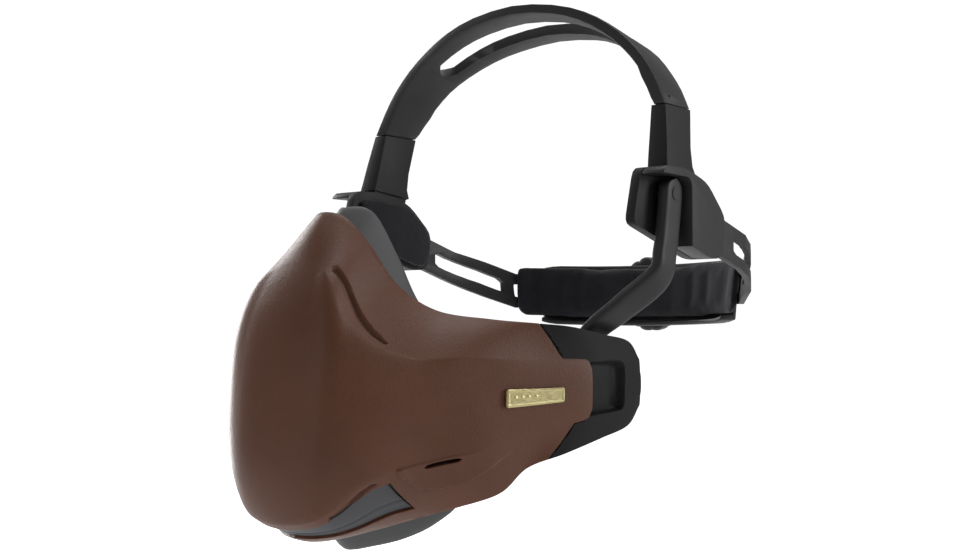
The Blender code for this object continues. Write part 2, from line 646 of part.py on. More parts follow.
for side_name, side in SIDES:
    frame = plate(
        f"temple_frame_{side_name}", HUB_OUTLINE,
        lambda y: side * HEAD_HALF_WIDTH, lambda y: side * PLATE_OUTER, DARK)
    foot_inner, foot_outer = HEAD_HALF_WIDTH + 0.3 * MM, PLATE_OUTER - 0.3 * MM
    rows = [
        leg_row(0 * MM, -3 * MM, foot_inner, foot_outer, side, MM, LEG_FLARE),
        leg_row(LEG_FOOT_Z, 8.2 * MM, foot_inner, foot_outer, side, MM, LEG_FLARE),
        leg_row(LEG_FOOT_Z + 0.2 * MM, 8.7 * MM, HEAD_HALF_WIDTH - 0.6 * MM, 80.4 * MM, side, 0, LEG_FLARE),
        leg_row(14 * MM, 12.5 * MM, HEAD_HALF_WIDTH - 0.9 * MM, 79.9 * MM, side, 0, LEG_FLARE * 0.35),
        leg_row(22 * MM, 20 * MM, HEAD_HALF_WIDTH - 1.4 * MM, 78.8 * MM, side),
        leg_row(SEAM_Z, SEAM_Z, HEAD_HALF_WIDTH - 2.2 * MM, 76.4 * MM, side),
    ]
    leg = slab(f"leg_{side_name}", [row[1] for row in rows], [row[0] for row in rows])
    cut(frame, leg, "UNION")
    slot_rows = [prong_section(d, FIT, side) for d in (-2 * MM, PRONG_LENGTH + FIT)]
    cut(frame, slab(f"prong_slot_{side_name}", [r[1] for r in slot_rows], [r[0] for r in slot_rows]))

    hub = plate(
        f"hub_cover_{side_name}", HUB_OUTLINE,
        lambda y: side * COVER_INNER, lambda y: side * hub_outer_x(y), CHARCOAL)
    pocket_outline = rounded(
        [(-40 * MM, 6.8 * MM), (-40 * MM, -40 * MM), (8.5 * MM, -40 * MM), (8.5 * MM, 6.8 * MM)],
        [1 * MM, 1 * MM, 1 * MM, 4 * MM])
    cut(hub, plate(
        f"hub_pocket_{side_name}", pocket_outline,
        lambda y: side * (COVER_INNER - 2 * MM), lambda y: side * (COVER_OUTER + 5 * MM)))
    band_slot = []
    for distance in (-NAPE_TRAVEL - 1.5 * MM, BAND_STRAIGHT):
        middle = BAND_START + band_run * distance
        half = band_rise * (BAND_HEIGHT / 2 + FIT)
        near = side * (BAND_X - FIT)
        far = side * (BAND_X + BAND_WALL + FIT)
        ends = [middle - half, middle + half]
        band_slot.append(([(near, p.y, p.z) for p in ends], [(far, p.y, p.z) for p in ends]))
    cut(hub, slab(
        f"band_slot_{side_name}", [r[1] for r in band_slot], [r[0] for r in band_slot]))

    pad_outline = rounded(
        [(-12 * MM, 7 * MM), (-17 * MM, -11.5 * MM), (3 * MM, -18 * MM), (24 * MM, -23 * MM),
         (34 * MM, -22.5 * MM), (36.5 * MM, -7.5 * MM), (20 * MM, 6.5 * MM)],
        [4 * MM, 4 * MM, 6 * MM, 5 * MM, 6 * MM, 6 * MM, 6 * MM])
    plate(
        f"temple_pad_{side_name}", pad_outline,
        lambda y: side * (HEAD_HALF_WIDTH - GAP - PAD_DEPTH),
        lambda y: side * (HEAD_HALF_WIDTH - GAP), PAD_BLACK)

    pin_bore = cylinder(
        f"pivot_bore_{side_name}", PIVOT_RADIUS + FIT,
        mirrored((HEAD_HALF_WIDTH - 5 * MM, 0, 0), side), mirrored((PLATE_OUTER + 3 * MM, 0, 0), side))
    cut(frame, pin_bore)
    cut(frame, cylinder(
        f"pivot_counterbore_{side_name}", PIN_HEAD_RADIUS + FIT,
        mirrored((HEAD_HALF_WIDTH - 5 * MM, 0, 0), side),
        mirrored((HEAD_HALF_WIDTH + 0.2 * MM + PIN_HEAD_DEPTH + FIT, 0, 0), side)))


# ---- Link arms and their pins --------------------------------------------------
LINK_TOP_X = PLATE_OUTER + 1.6 * MM + LINK_WALL / 2
FOOT_REACH = 8.6 * MM  # from the link's middle to the arm end's inner face, free to tilt
LINK_FOOT_X = MASK_WIDTH / 2 - ARM_WALL - FOOT_REACH
LOWER_PIN = Vector((LINK_FOOT_X, -20 * MM, -68 * MM))
LINK_MIDDLE = (
    (LINK_TOP_X, 0, 0), (LINK_TOP_X, 0, -1 * MM), (LINK_TOP_X, -1.4 * MM, -9 * MM),
    (LINK_TOP_X, -4 * MM, -22 * MM), (LINK_TOP_X - 0.6 * MM, -6.2 * MM, -31 * MM),
    (LINK_TOP_X - 12.5 * MM, -14.5 * MM, -44 * MM), (LINK_FOOT_X + 0.5 * MM, -19 * MM, -57 * MM),
    (LINK_FOOT_X, LOWER_PIN.y, LOWER_PIN.z),
)
LINK_WALLS = (5, 5, 5, 5, 5, 5, 3.8, 3.4)


def link_rows(side):
    """Cross-sections down the link: rounded over the top pin and under the lower one."""
    rows = []
    chain = [Vector(p) for p in LINK_MIDDLE]
    last = len(chain) - 1
    for i, middle in enumerate(chain):
        run = (chain[min(last, i + 1)] - chain[max(0, i - 1)]).normalized()
        across = Vector((0, -run.z, run.y)).normalized()
        if i in (0, last):
            across = Vector((0, 1, 0))
        through = run.cross(across).normalized()
        if through.x < 0:
            through = -through
        wall = LINK_WALLS[i] * MM / 2
        rows.append((middle, across, through, wall, run))
    result = []
    for end, sign in ((0, -1), (last, 1)):
        middle, across, through, wall, run = rows[end]
        for angle in (75, 50, 25):
            reach = LINK_WIDTH / 2 * math.sin(math.radians(angle))
            half = LINK_WIDTH / 2 * math.cos(math.radians(angle))
            shifted = middle + Vector((0, 0, -sign * reach))
            result.append((end, shifted, across * half, Vector((wall, 0, 0))))
    top = [r[1:] for r in result if r[0] == 0]
    foot = [r[1:] for r in reversed(result) if r[0] == last]
    body = [(m, a * LINK_WIDTH / 2, t * w) for m, a, t, w, _ in rows]
    sections = top + body + foot
    outer = [[m + t - a, m + t + a] for m, a, t in sections]
    inner = [[m - t - a, m - t + a] for m, a, t in sections]
    outer = [[mirrored(p, side) for p in row] for row in outer]
    inner = [[mirrored(p, side) for p in row] for row in inner]
    return outer, inner


for side_name, side in SIDES:
    outer, inner = link_rows(side)
    link = slab(f"link_arm_{side_name}", outer, inner, CHARCOAL)
    soften(link, 0.7 * MM, 1)
    top_bore = cylinder(
        f"link_bore_{side_name}", PIVOT_RADIUS + FIT,
        mirrored((LINK_TOP_X - 8 * MM, 0, 0), side), mirrored((LINK_TOP_X + 8 * MM, 0, 0), side))
    cut(link, top_bore)
    foot_bore = cylinder(
        f"foot_bore_{side_name}", PIVOT_RADIUS + FIT,
        mirrored(LOWER_PIN - Vector((6 * MM, 0, 0)), side),
        mirrored(LOWER_PIN + Vector((FOOT_REACH + FIT, 0, 0)), side))
    cut(link, foot_bore)
    cut(bpy.data.objects[f"side_arm_{side_name}"], foot_bore)
    start = HEAD_HALF_WIDTH + 0.2 * MM
    turn = Matrix.Rotation(side * math.pi / 2, 4, "Y")
    length = LINK_TOP_X + LINK_WALL / 2 + FIT - start
    turned(f"pivot_pin_{side_name}", [
        (0, length), (PIVOT_RADIUS, length), (PIVOT_RADIUS, PIN_HEAD_DEPTH),
        (PIN_HEAD_RADIUS, PIN_HEAD_DEPTH), (PIN_HEAD_RADIUS, 0), (0, 0)],
        Matrix.Translation((side * start, 0, 0)) @ turn, STEEL, steps=20)
    pin_start = LINK_FOOT_X - 1.7 * MM - 1.6 * MM
    pin_end = LINK_FOOT_X + FOOT_REACH
    turned(f"link_pin_{side_name}", [
        (0, pin_end - pin_start), (PIVOT_RADIUS, pin_end - pin_start), (PIVOT_RADIUS, PIN_HEAD_DEPTH),
        (PIN_HEAD_RADIUS, PIN_HEAD_DEPTH), (PIN_HEAD_RADIUS, 0), (0, 0)],
        Matrix.Translation((side * pin_start, LOWER_PIN.y, LOWER_PIN.z)) @ turn, STEEL, steps=20)

# ---- Crown band ----------------------------------------------------------------
BASE_CROWN = 86.0
BASE_LEG_X = 76.4
SEAM_MM = SEAM_Z / MM + 0.4
CROWN_EDGES = (  # front and rear edge of the outer face, from the top to the seam, at the base size
    ((0, 5, 86), (0, 41, 80)), ((21, 5, 83.6), (21, 40, 77.8)), ((36, 5.2, 78.8), (35, 37, 73.6)),
    ((48, 5.4, 72.2), (48, 33.5, 67)), ((58, 5.2, 64.4), (57.6, 30.8, 60.2)),
    ((66, 4.8, 55.6), (65, 28.6, 52.2)), ((72, 4.2, 46), (71, 26.2, 44.5)),
    ((76.4, 3.3, SEAM_MM), (75.6, 23.9, SEAM_MM)),
)
CROWN_SLOT = (0.30, 0.72)  # share of the band's width, front to rear
LAST_CROWN = len(CROWN_EDGES) - 1
CROWN_SIDE = 5  # steps from the top to where the band turns upright
CROWN_EASE = 0.5 * MM  # how much the edges are eased
SLOT_ENDS = (3.05, 3.2, 3.35, 3.45)  # the slot's rounded end, in steps along the band


def crown_point(point):
    """Stretches a point of the crown's outline to the driving height and width."""
    rise = max(0.0, point.z - SEAM_Z) / (BASE_CROWN * MM - SEAM_Z)
    width = (HEAD_HALF_WIDTH + BASE_LEG_X * MM - 72.2 * MM) / (BASE_LEG_X * MM)
    return Vector((point.x * width, point.y, point.z + rise * (CROWN_HEIGHT - BASE_CROWN * MM)))


def crown_edge(index, u):
    """Front (0) or rear (1) edge at u steps down from the top, negative on the right."""
    points = [edge[index] for edge in CROWN_EDGES]
    return crown_point(along(points, u) * MM)


def crown_section(u, depth, shares):
    """Points across the band at u, at a depth under its outer face."""
    front_edge = crown_edge(0, u)
    rear_edge = crown_edge(1, u)
    run = crown_edge(0, u + 0.05) - crown_edge(0, u - 0.05)
    inwards = (rear_edge - front_edge).cross(run).normalized()
    if inwards.z * (CROWN_SIDE - abs(u)) > 0 and inwards.x * u >= 0:
        inwards = -inwards
    if abs(u) >= LAST_CROWN:
        inwards = Vector((-math.copysign(1, u), 0, 0))
    return [front_edge.lerp(rear_edge, share) + inwards * depth for share in shares]


def crown_grid(u, near, edge):
    """Row across the band: its two edges lie a little deeper or shallower than its face."""
    face = crown_section(u, near, (0.06, 0.94))
    rim = crown_section(u, edge, (0, 1))
    return [rim[0], *face, rim[1]]


def crown_wall(u):
    """The band is a little thicker towards its legs."""
    return CROWN_WALL + (MM if abs(u) > CROWN_SIDE else 0)


crown_steps = [i / 2 for i in range(-2 * LAST_CROWN, 2 * LAST_CROWN + 1)]
outer = [crown_grid(u, 0.0, CROWN_EASE) for u in crown_steps]
inner = [crown_grid(u, crown_wall(u), crown_wall(u) - CROWN_EASE) for u in crown_steps]
crown = slab("crown_band", outer, inner, CHARCOAL)
slot_u = [-u for u in reversed(SLOT_ENDS)] + [i / 2 for i in range(-6, 7)] + list(SLOT_ENDS)
slot_rounding = {SLOT_ENDS[1]: 0.06, SLOT_ENDS[2]: 0.13, SLOT_ENDS[3]: 0.20}
slot_shares = []
for u in slot_u:
    ease = slot_rounding.get(abs(u), 0.0)
    slot_shares.append((CROWN_SLOT[0] + ease, CROWN_SLOT[1] - ease))
cut(crown, slab(
    "crown_slot",
    [crown_section(u, -4 * MM, shares) for u, shares in zip(slot_u, slot_shares)],
    [crown_section(u, CROWN_WALL + 4 * MM, shares) for u, shares in zip(slot_u, slot_shares)]))
for side_name, side in SIDES:
    rows = [prong_section(d, 0.0, side) for d in (-3 * MM, PRONG_LENGTH)]
    prong = slab(f"crown_prong_{side_name}", [r[1] for r in rows], [r[0] for r in rows])
    cut(crown, prong, "UNION")

# ---- Rear bands, cradle, pad and knob -------------------------------------------
BASE_NAPE = 115.0
HEAD_LINE = (  # (x, y, middle z) along the pad's face on the head, left end to the back
    (60, 88, -32), (55, 93.5, -32.6), (47, 98, -33), (36, 102, -33.4), (20, 104.6, -33.8),
    (0, 105.5, -34),
)
BAND_HUB_EXIT = (81.4, 46, -16.8)
BAND_BEND = (81.4, 56.9, -19.8)  # end of the straight run
BAND_LINE = (  # outer face of the left band between the hub and the pad
    (80.3, 62.5, -21.6), (77.8, 70, -23.8), (73.2, 79, -26.8),
)
BAND_TAIL_END = 4.2  # station on the head line where a band's tail stops
SHELL_START = 1.6  # station where the cradle shell starts
SHELL_HEIGHT = 29 * MM
SHELL_WALL = 2.2 * MM
NAPE_TILT = 3.0 * MM  # how far the lower edge of the pad and the cradle leans in
NAPE_PAD_WALL = 4.0 * MM
NAPE_PAD_HEIGHT = 26 * MM
BAND_DEPTH = NAPE_PAD_WALL + GAP  # from the head line out to the band's inner face
SHELL_DEPTH = BAND_DEPTH + 2.4 * MM + GAP
LIP_DEPTH = 1.2 * MM  # how far under the pad the cradle's lower lip reaches


def nape_y(y):
    """Keeps the hub end of the rear parts and moves the rest with the head's length."""
    share = max(0.0, (y - 46.0) / (BASE_NAPE - 46.0))
    return y * MM + share * (NAPE_REACH - BASE_NAPE * MM)


def nape_point(x, y, z):
    width = (HEAD_HALF_WIDTH - 72.2 * MM) / (79 * MM)
    return Vector((x * MM * (1 + width), nape_y(y), z * MM))


def head_line(station):
    """Point of the head line, 0 at the left end to 5 at the back and 10 at the right end."""
    mirrored_half = [(-x, y, z) for x, y, z in reversed(HEAD_LINE[:-1])]
    whole = [*HEAD_LINE, *mirrored_half]
    i = min(int(station), len(whole) - 2)
    u = station - i
    chain = [whole[max(0, i - 1)], whole[i], whole[i + 1], whole[min(len(whole) - 1, i + 2)]]
    p, q, r, w = map(Vector, chain)
    point = 0.5 * (2 * q + (r - p) * u + (2 * p - 5 * q + 4 * r - w) * u * u
                   + (3 * q - p - 3 * r + w) * u ** 3)
    return nape_point(*point)


def head_outward(station):
    run = head_line(min(10, station + 0.1)) - head_line(max(0, station - 0.1))
    return Vector((run.y, -run.x, 0)).normalized()


def upright(station, depth, z_low, z_high):
    """Lower and upper point at a depth outside the head line; what is lower leans in."""
    point = head_line(station)
    out = head_outward(station)
    pair = []
    for z in (z_low, z_high):
        lean_in = NAPE_TILT * (SHELL_HEIGHT / 2 - z) / SHELL_HEIGHT
        pair.append(point + out * (depth - lean_in) + Vector((0, 0, z)))
    return pair


BAND_SLOTS = ((48.5 * MM, 86 * MM), (89.5 * MM, 94 * MM))  # windows, front to back

WINDOW_SHARES = (0, 0.06, 0.3, 0.5, 0.7, 0.94, 1)  # along a window
WINDOW_HEIGHTS = (4.2 * MM, 6.2 * MM, 6.2 * MM, 6.2 * MM, 6.2 * MM, 6.2 * MM, 4.2 * MM)


def band_place(y):
    """Middle of the band, its outer x and z, at a distance back between hub and pad."""
    line = [BAND_HUB_EXIT, BAND_BEND, *BAND_LINE, (66, 90, -32)]
    for near, far in zip(line, line[1:]):
        if y / MM <= far[1]:
            share = (y / MM - near[1]) / (far[1] - near[1])
            return tuple((near[i] + (far[i] - near[i]) * share) * MM for i in (0, 2))
    return 66 * MM, -32 * MM


def tail_height(station):
    return (17 - 1.6 * station) * MM


for side_name, side in SIDES:
    outer = []
    inner = []
    for distance in span(0, BAND_STRAIGHT, 3):
        middle = BAND_START + band_run * distance
        half = band_rise * BAND_HEIGHT / 2
        ends = [middle - half, middle + half]
        outer.append([Vector((side * (BAND_X + BAND_WALL), p.y, p.z)) for p in ends])
        inner.append([Vector((side * BAND_X, p.y, p.z)) for p in ends])
    heights = (15.6 * MM, 16.4 * MM, 17 * MM)
    for i, (point, height) in enumerate(zip(BAND_LINE, heights)):
        before = BAND_LINE[i - 1] if i else BAND_BEND
        run = (Vector(point) - Vector(before)).normalized()
        out = Vector((run.y, -run.x, 0)).normalized()
        for grid, depth in ((outer, 0.0), (inner, BAND_WALL)):
            place = nape_point(*point) - out * depth
            half = Vector((0, 0, height / 2))
            grid.append([mirrored(place - half, side), mirrored(place + half, side)])
    for station in (0.1, 0.6, 1.2, 2.0, 2.8, 3.5, BAND_TAIL_END):
        half = tail_height(station) / 2
        out_row = upright(station, BAND_DEPTH + 2.4 * MM, -half, half)
        in_row = upright(station, BAND_DEPTH, -half, half)
        outer.append([mirrored(p, side) for p in out_row])
        inner.append([mirrored(p, side) for p in in_row])
    band = slab(f"rear_band_{side_name}", outer, inner, CHARCOAL)
    for number, (first, last) in enumerate(BAND_SLOTS):
        rows_out = []
        rows_in = []
        for height, share in zip(WINDOW_HEIGHTS, WINDOW_SHARES):
            y = first + (last - first) * share
            x, z = band_place(y)
            for rows, reach in ((rows_out, 8 * MM), (rows_in, -12 * MM)):
                rows.append([Vector((side * (x + reach), y, z - height / 2)),
                             Vector((side * (x + reach), y, z + height / 2))])
        cut(band, slab(f"band_window_{side_name}_{number}", rows_out, rows_in))

shell_stations = span(SHELL_START, 10 - SHELL_START, 18)
shell_outer = []
shell_inner = []
for station in shell_stations:
    share = min(1.0, (5 - abs(station - 5) - SHELL_START) / 0.8)
    half = SHELL_HEIGHT / 2 * (0.92 + 0.08 * math.sin(share * math.pi / 2))
    low_out, high_out = upright(station, SHELL_DEPTH + SHELL_WALL, -half - MM, half - MM)
    low_in, high_in = upright(station, SHELL_DEPTH, -half - MM + SHELL_WALL, half - MM)
    lip_low, lip_high = upright(station, LIP_DEPTH, -half - MM, -half - MM + SHELL_WALL)
    shell_outer.append([lip_low, low_out, high_out])
    shell_inner.append([lip_high, low_in, high_in])
cradle = slab("rear_cradle", shell_outer, shell_inner, CHARCOAL)

pad_stations = [0, 0.08, 0.25, 0.6, 1, 1.5, 2, 2.6, 3.3, 4, 5, 6, 6.7, 7.4, 8, 8.5, 9, 9.4, 9.75, 9.92, 10]
pad_outer = []
pad_inner = []
for station in pad_stations:
    end = min(station, 10 - station)
    half = NAPE_PAD_HEIGHT / 2 * (0.72 + 0.28 * math.sin(min(1.0, end / 0.6) * math.pi / 2))
    low, high = upright(station, NAPE_PAD_WALL, -half + 1.5 * MM, half)
    pad_outer.append([low, high])
    low, high = upright(station, 0.0, -half + 1.5 * MM, half)
    pad_inner.append([low, high])
slab("nape_pad", pad_outer, pad_inner, PAD_BLACK)

# Knob, pinion and screw stand on the cradle's back, on one axis
knob_seat = head_line(5).y + SHELL_DEPTH + SHELL_WALL - NAPE_TILT / 2
knob_z = head_line(5).z
knob_turn = Matrix.Rotation(-math.pi / 2, 4, "X")
knob_place = Matrix.Translation((0, knob_seat + 1.6 * MM, knob_z)) @ knob_turn
KNOB_DEPTH = 10 * MM
PINION_RADIUS = 6 * MM
SHAFT_RADIUS = 2 * MM
turned("knob", [
    (SHAFT_RADIUS + FIT, KNOB_DEPTH), (KNOB_RADIUS - 3 * MM, KNOB_DEPTH),
    (KNOB_RADIUS - MM, KNOB_DEPTH - 2 * MM), (KNOB_RADIUS, 1.5 * MM), (KNOB_RADIUS - 0.8 * MM, 0),
    (PINION_RADIUS + 3 * MM, 0), (PINION_RADIUS + 3 * MM, KNOB_DEPTH - 4 * MM),
    (SHAFT_RADIUS + FIT, KNOB_DEPTH - 4 * MM), (SHAFT_RADIUS + FIT, KNOB_DEPTH)],
    knob_place, CHARCOAL, steps=32)
turned("knob_pinion", [
    (SHAFT_RADIUS + FIT, KNOB_DEPTH - 4 * MM - GAP), (PINION_RADIUS, KNOB_DEPTH - 4 * MM - GAP),
    (PINION_RADIUS, 0.4 * MM), (SHAFT_RADIUS + FIT, 0.4 * MM),
    (SHAFT_RADIUS + FIT, KNOB_DEPTH - 4 * MM - GAP)], knob_place, DARK, steps=20)
turned("knob_screw", [
    (0, KNOB_DEPTH + 1.8 * MM), (SHAFT_RADIUS + 2 * MM, KNOB_DEPTH + 1.8 * MM),
    (SHAFT_RADIUS + 2 * MM, KNOB_DEPTH + GAP), (SHAFT_RADIUS, KNOB_DEPTH + GAP),
    (SHAFT_RADIUS, -3.2 * MM), (0, -3.2 * MM)], knob_place, STEEL, steps=16)
cut(cradle, cylinder(
    "shaft_bore", SHAFT_RADIUS + FIT, Vector((0, knob_seat - 10 * MM, knob_z)),
    Vector((0, knob_seat + 10 * MM, knob_z)), sides=16))
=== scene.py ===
# %% [markdown]
# # A grained half mask on a rigid head harness
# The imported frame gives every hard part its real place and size. This lesson dresses it: the grained shell,
# the dark arms, the soft seal and pads, and the finishes of the harness. Lengths are in metres.

# %% Load the frame
import json
import math
from functools import lru_cache

import bpy
from mathutils import Matrix, Vector


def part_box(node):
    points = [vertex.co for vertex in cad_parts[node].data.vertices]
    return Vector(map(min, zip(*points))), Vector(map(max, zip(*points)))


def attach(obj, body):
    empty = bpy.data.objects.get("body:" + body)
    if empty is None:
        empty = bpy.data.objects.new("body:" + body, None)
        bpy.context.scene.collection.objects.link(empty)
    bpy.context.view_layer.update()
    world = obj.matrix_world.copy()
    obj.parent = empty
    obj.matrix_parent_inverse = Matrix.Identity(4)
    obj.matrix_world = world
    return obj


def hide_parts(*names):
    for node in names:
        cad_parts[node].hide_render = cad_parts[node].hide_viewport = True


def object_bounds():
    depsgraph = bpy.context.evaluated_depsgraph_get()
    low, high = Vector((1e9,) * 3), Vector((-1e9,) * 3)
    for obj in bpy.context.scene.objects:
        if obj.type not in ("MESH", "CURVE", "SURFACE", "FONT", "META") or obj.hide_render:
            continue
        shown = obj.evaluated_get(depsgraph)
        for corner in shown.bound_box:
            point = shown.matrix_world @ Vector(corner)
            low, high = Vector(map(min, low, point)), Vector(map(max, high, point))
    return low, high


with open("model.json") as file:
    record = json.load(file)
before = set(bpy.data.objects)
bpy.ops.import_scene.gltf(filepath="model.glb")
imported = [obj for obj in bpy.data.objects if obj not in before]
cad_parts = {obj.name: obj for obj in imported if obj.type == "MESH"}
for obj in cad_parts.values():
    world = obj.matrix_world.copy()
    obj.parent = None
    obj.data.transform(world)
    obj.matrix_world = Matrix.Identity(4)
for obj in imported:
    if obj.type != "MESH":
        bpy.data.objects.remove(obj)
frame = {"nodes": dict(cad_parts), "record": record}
cad_low, cad_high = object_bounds()
MM = 0.001
SIDES = (("left", 1), ("right", -1))

# %% [markdown]
# ## Camera and studio
# A product like this is shown from its front left at about its own height. The camera stands a little under
# the middle of the harness and looks up slightly. A wide soft panel above, a strip behind each shoulder and
# a weak fill keep the dark plastic readable against a white room.

# %% Camera
CAMERA_AZIMUTH = math.radians(38)
CAMERA_ELEVATION = math.radians(-2.49)
CAMERA_PLACE = Vector((0.3682, -0.4819, -0.0554))
camera_back = Vector((
    math.sin(CAMERA_AZIMUTH) * math.cos(CAMERA_ELEVATION),
    -math.cos(CAMERA_AZIMUTH) * math.cos(CAMERA_ELEVATION),
    math.sin(CAMERA_ELEVATION),
))
bpy.ops.object.camera_add(location=CAMERA_PLACE)
camera = bpy.context.object
camera.rotation_mode = "QUATERNION"
camera.rotation_quaternion = camera_back.to_track_quat("Z", "Y")
camera.data.sensor_width = 36
camera.data.lens = 53.37
camera.data.clip_start = 0.01
bpy.context.scene.camera = camera
print("camera at", tuple(round(v, 3) for v in CAMERA_PLACE))

# %% Lights, floor and room
MASK_MIDDLE = Vector((0, -0.02, -0.03))


def soft_panel(name, place, width, height, power, colour=(1, 1, 1)):
    """A rectangular studio light that faces the middle of the mask."""
    bpy.ops.object.light_add(type="AREA", location=place)
    panel = bpy.context.object
    panel.name = name
    panel.data.shape = "RECTANGLE"
    panel.data.size = width
    panel.data.size_y = height
    panel.data.energy = power
    panel.data.color = colour
    panel.rotation_mode = "QUATERNION"
    panel.rotation_quaternion = (Vector(place) - MASK_MIDDLE).to_track_quat("Z", "Y")
    return panel


soft_panel("overhead", (-0.1, 0.35, 1.3), 1.3, 0.8, 10.5)
soft_panel("left_rim", (-1.2, 0.1, 0.2), 0.4, 1.2, 20)
soft_panel("right_rim", (1.1, 0.8, 0.4), 0.5, 1.0, 8)
soft_panel("front_fill", (-0.2, -1.4, 0.2), 0.9, 0.9, 1.5)

FLOOR_HEIGHT = cad_low.z - 0.16
bpy.ops.mesh.primitive_plane_add(size=40, location=(0, 0, FLOOR_HEIGHT))
floor = bpy.context.object
floor.name = "studio_floor"
floor_paint = bpy.data.materials.new("studio_floor")
floor_paint.use_nodes = True
floor_shader = floor_paint.node_tree.nodes["Principled BSDF"]
floor_shader.inputs["Base Color"].default_value = (0.8, 0.8, 0.8, 1)
floor_shader.inputs["Roughness"].default_value = 0.9
floor_shader.inputs["Emission Color"].default_value = (1, 1, 1, 1)
floor_ray = floor_paint.node_tree.nodes.new("ShaderNodeLightPath")
floor_glow = floor_paint.node_tree.nodes.new("ShaderNodeMapRange")
floor_glow.inputs["To Min"].default_value = 0.12
floor_glow.inputs["To Max"].default_value = 1.0
floor_paint.node_tree.links.new(floor_ray.outputs["Is Camera Ray"], floor_glow.inputs["Value"])
floor_paint.node_tree.links.new(floor_glow.outputs["Result"], floor_shader.inputs["Emission Strength"])
floor.data.materials.append(floor_paint)

world = bpy.data.worlds.new("white_room")
bpy.context.scene.world = world
world.use_nodes = True
room = world.node_tree
backdrop = room.nodes["Background"]
backdrop.inputs["Color"].default_value = (1, 1, 1, 1)
seen_directly = room.nodes.new("ShaderNodeLightPath")
room_level = room.nodes.new("ShaderNodeMapRange")
room_level.inputs["To Min"].default_value = 0.30
room_level.inputs["To Max"].default_value = 1.05
room.links.new(seen_directly.outputs["Is Camera Ray"], room_level.inputs["Value"])
room.links.new(room_level.outputs["Result"], backdrop.inputs["Strength"])
bpy.context.scene.view_settings.view_transform = "Standard"
print("floor at", round(FLOOR_HEIGHT, 3))

# %% [markdown]
# ## Finishes
# Every finish is a small tree of nodes: a base colour that varies a little, a roughness that varies with it,
# and a fine bump. They read Object coordinates, so the grain has one real size on every piece.


# %% Helpers for finishes
def new_finish(name, colour, roughness, metallic=0.0):
    """A material with its Principled shader, and the coordinates that its patterns read."""
    made = bpy.data.materials.new(name)
    made.use_nodes = True
    tree = made.node_tree
    shader = tree.nodes["Principled BSDF"]
    shader.inputs["Base Color"].default_value = (*colour, 1)
    shader.inputs["Roughness"].default_value = roughness
    shader.inputs["Metallic"].default_value = metallic
    place = tree.nodes.new("ShaderNodeTexCoord").outputs["Object"]
    return made, tree, shader, place


def pattern(tree, kind, place, scale, detail=2.0, stretch=(1, 1, 1)):
    """A noise or cell texture, in patterns per metre."""
    mapping = tree.nodes.new("ShaderNodeMapping")
    mapping.inputs["Scale"].default_value = stretch
    tree.links.new(place, mapping.inputs["Vector"])
    texture = tree.nodes.new(kind)
    texture.inputs["Scale"].default_value = scale
    if "Detail" in texture.inputs:
        texture.inputs["Detail"].default_value = detail
    tree.links.new(mapping.outputs["Vector"], texture.inputs["Vector"])
    return texture


def vary(tree, value, low, high, socket):
    """Spreads a 0-1 value between two numbers and feeds a socket."""
    spread = tree.nodes.new("ShaderNodeMapRange")
    spread.inputs["From Min"].default_value = 0.3
    spread.inputs["From Max"].default_value = 0.7
    spread.inputs["To Min"].default_value = low
    spread.inputs["To Max"].default_value = high
    tree.links.new(value, spread.inputs["Value"])
    tree.links.new(spread.outputs["Result"], socket)


def two_tone(tree, value, dark, light, shader):
    """Blends the base colour between two close tones."""
    ramp = tree.nodes.new("ShaderNodeValToRGB")
    ramp.color_ramp.elements[0].position = 0.3
    ramp.color_ramp.elements[1].position = 0.7
    ramp.color_ramp.elements[0].color = (*dark, 1)
    ramp.color_ramp.elements[1].color = (*light, 1)
    tree.links.new(value, ramp.inputs["Fac"])
    tree.links.new(ramp.outputs["Color"], shader.inputs["Base Color"])


def add_bump(tree, shader, height, distance, strength=1.0, under=None):
    """Raises a bump by a real distance, over another bump where one is given."""
    bump = tree.nodes.new("ShaderNodeBump")
    bump.inputs["Distance"].default_value = distance
    bump.inputs["Strength"].default_value = strength
    tree.links.new(height, bump.inputs["Height"])
    if under:
        tree.links.new(under.outputs["Normal"], bump.inputs["Normal"])
    tree.links.new(bump.outputs["Normal"], shader.inputs["Normal"])
    return bump


# %% [markdown]
# The shell is moulded and wrapped in a thin, fine-grained brown hide. The grain is a cell pattern under a
# millimetre, with soft creases between the cells, and broad clouds shift its tone a little.


# %% Brown hide
GRAIN_CELLS = 1150  # to a metre


def make_hide():
    made, tree, shader, place = new_finish("brown_hide", (0.100, 0.034, 0.0150), 0.44)
    clouds = pattern(tree, "ShaderNodeTexNoise", place, 45, 3)
    two_tone(tree, clouds.outputs["Fac"], (0.092, 0.0305, 0.0135), (0.110, 0.038, 0.0170), shader)
    vary(tree, clouds.outputs["Fac"], 0.42, 0.52, shader.inputs["Roughness"])
    cells = pattern(tree, "ShaderNodeTexVoronoi", place, GRAIN_CELLS)
    cells.feature = "SMOOTH_F1"
    pores = pattern(tree, "ShaderNodeTexNoise", place, 2600, 2)
    grain = add_bump(tree, shader, cells.outputs["Distance"], 0.00009, 0.55)
    add_bump(tree, shader, pores.outputs["Fac"], 0.00003, 0.5, grain)
    shader.inputs["Specular IOR Level"].default_value = 0.35
    return made


HIDE = make_hide()
print("made", HIDE.name)
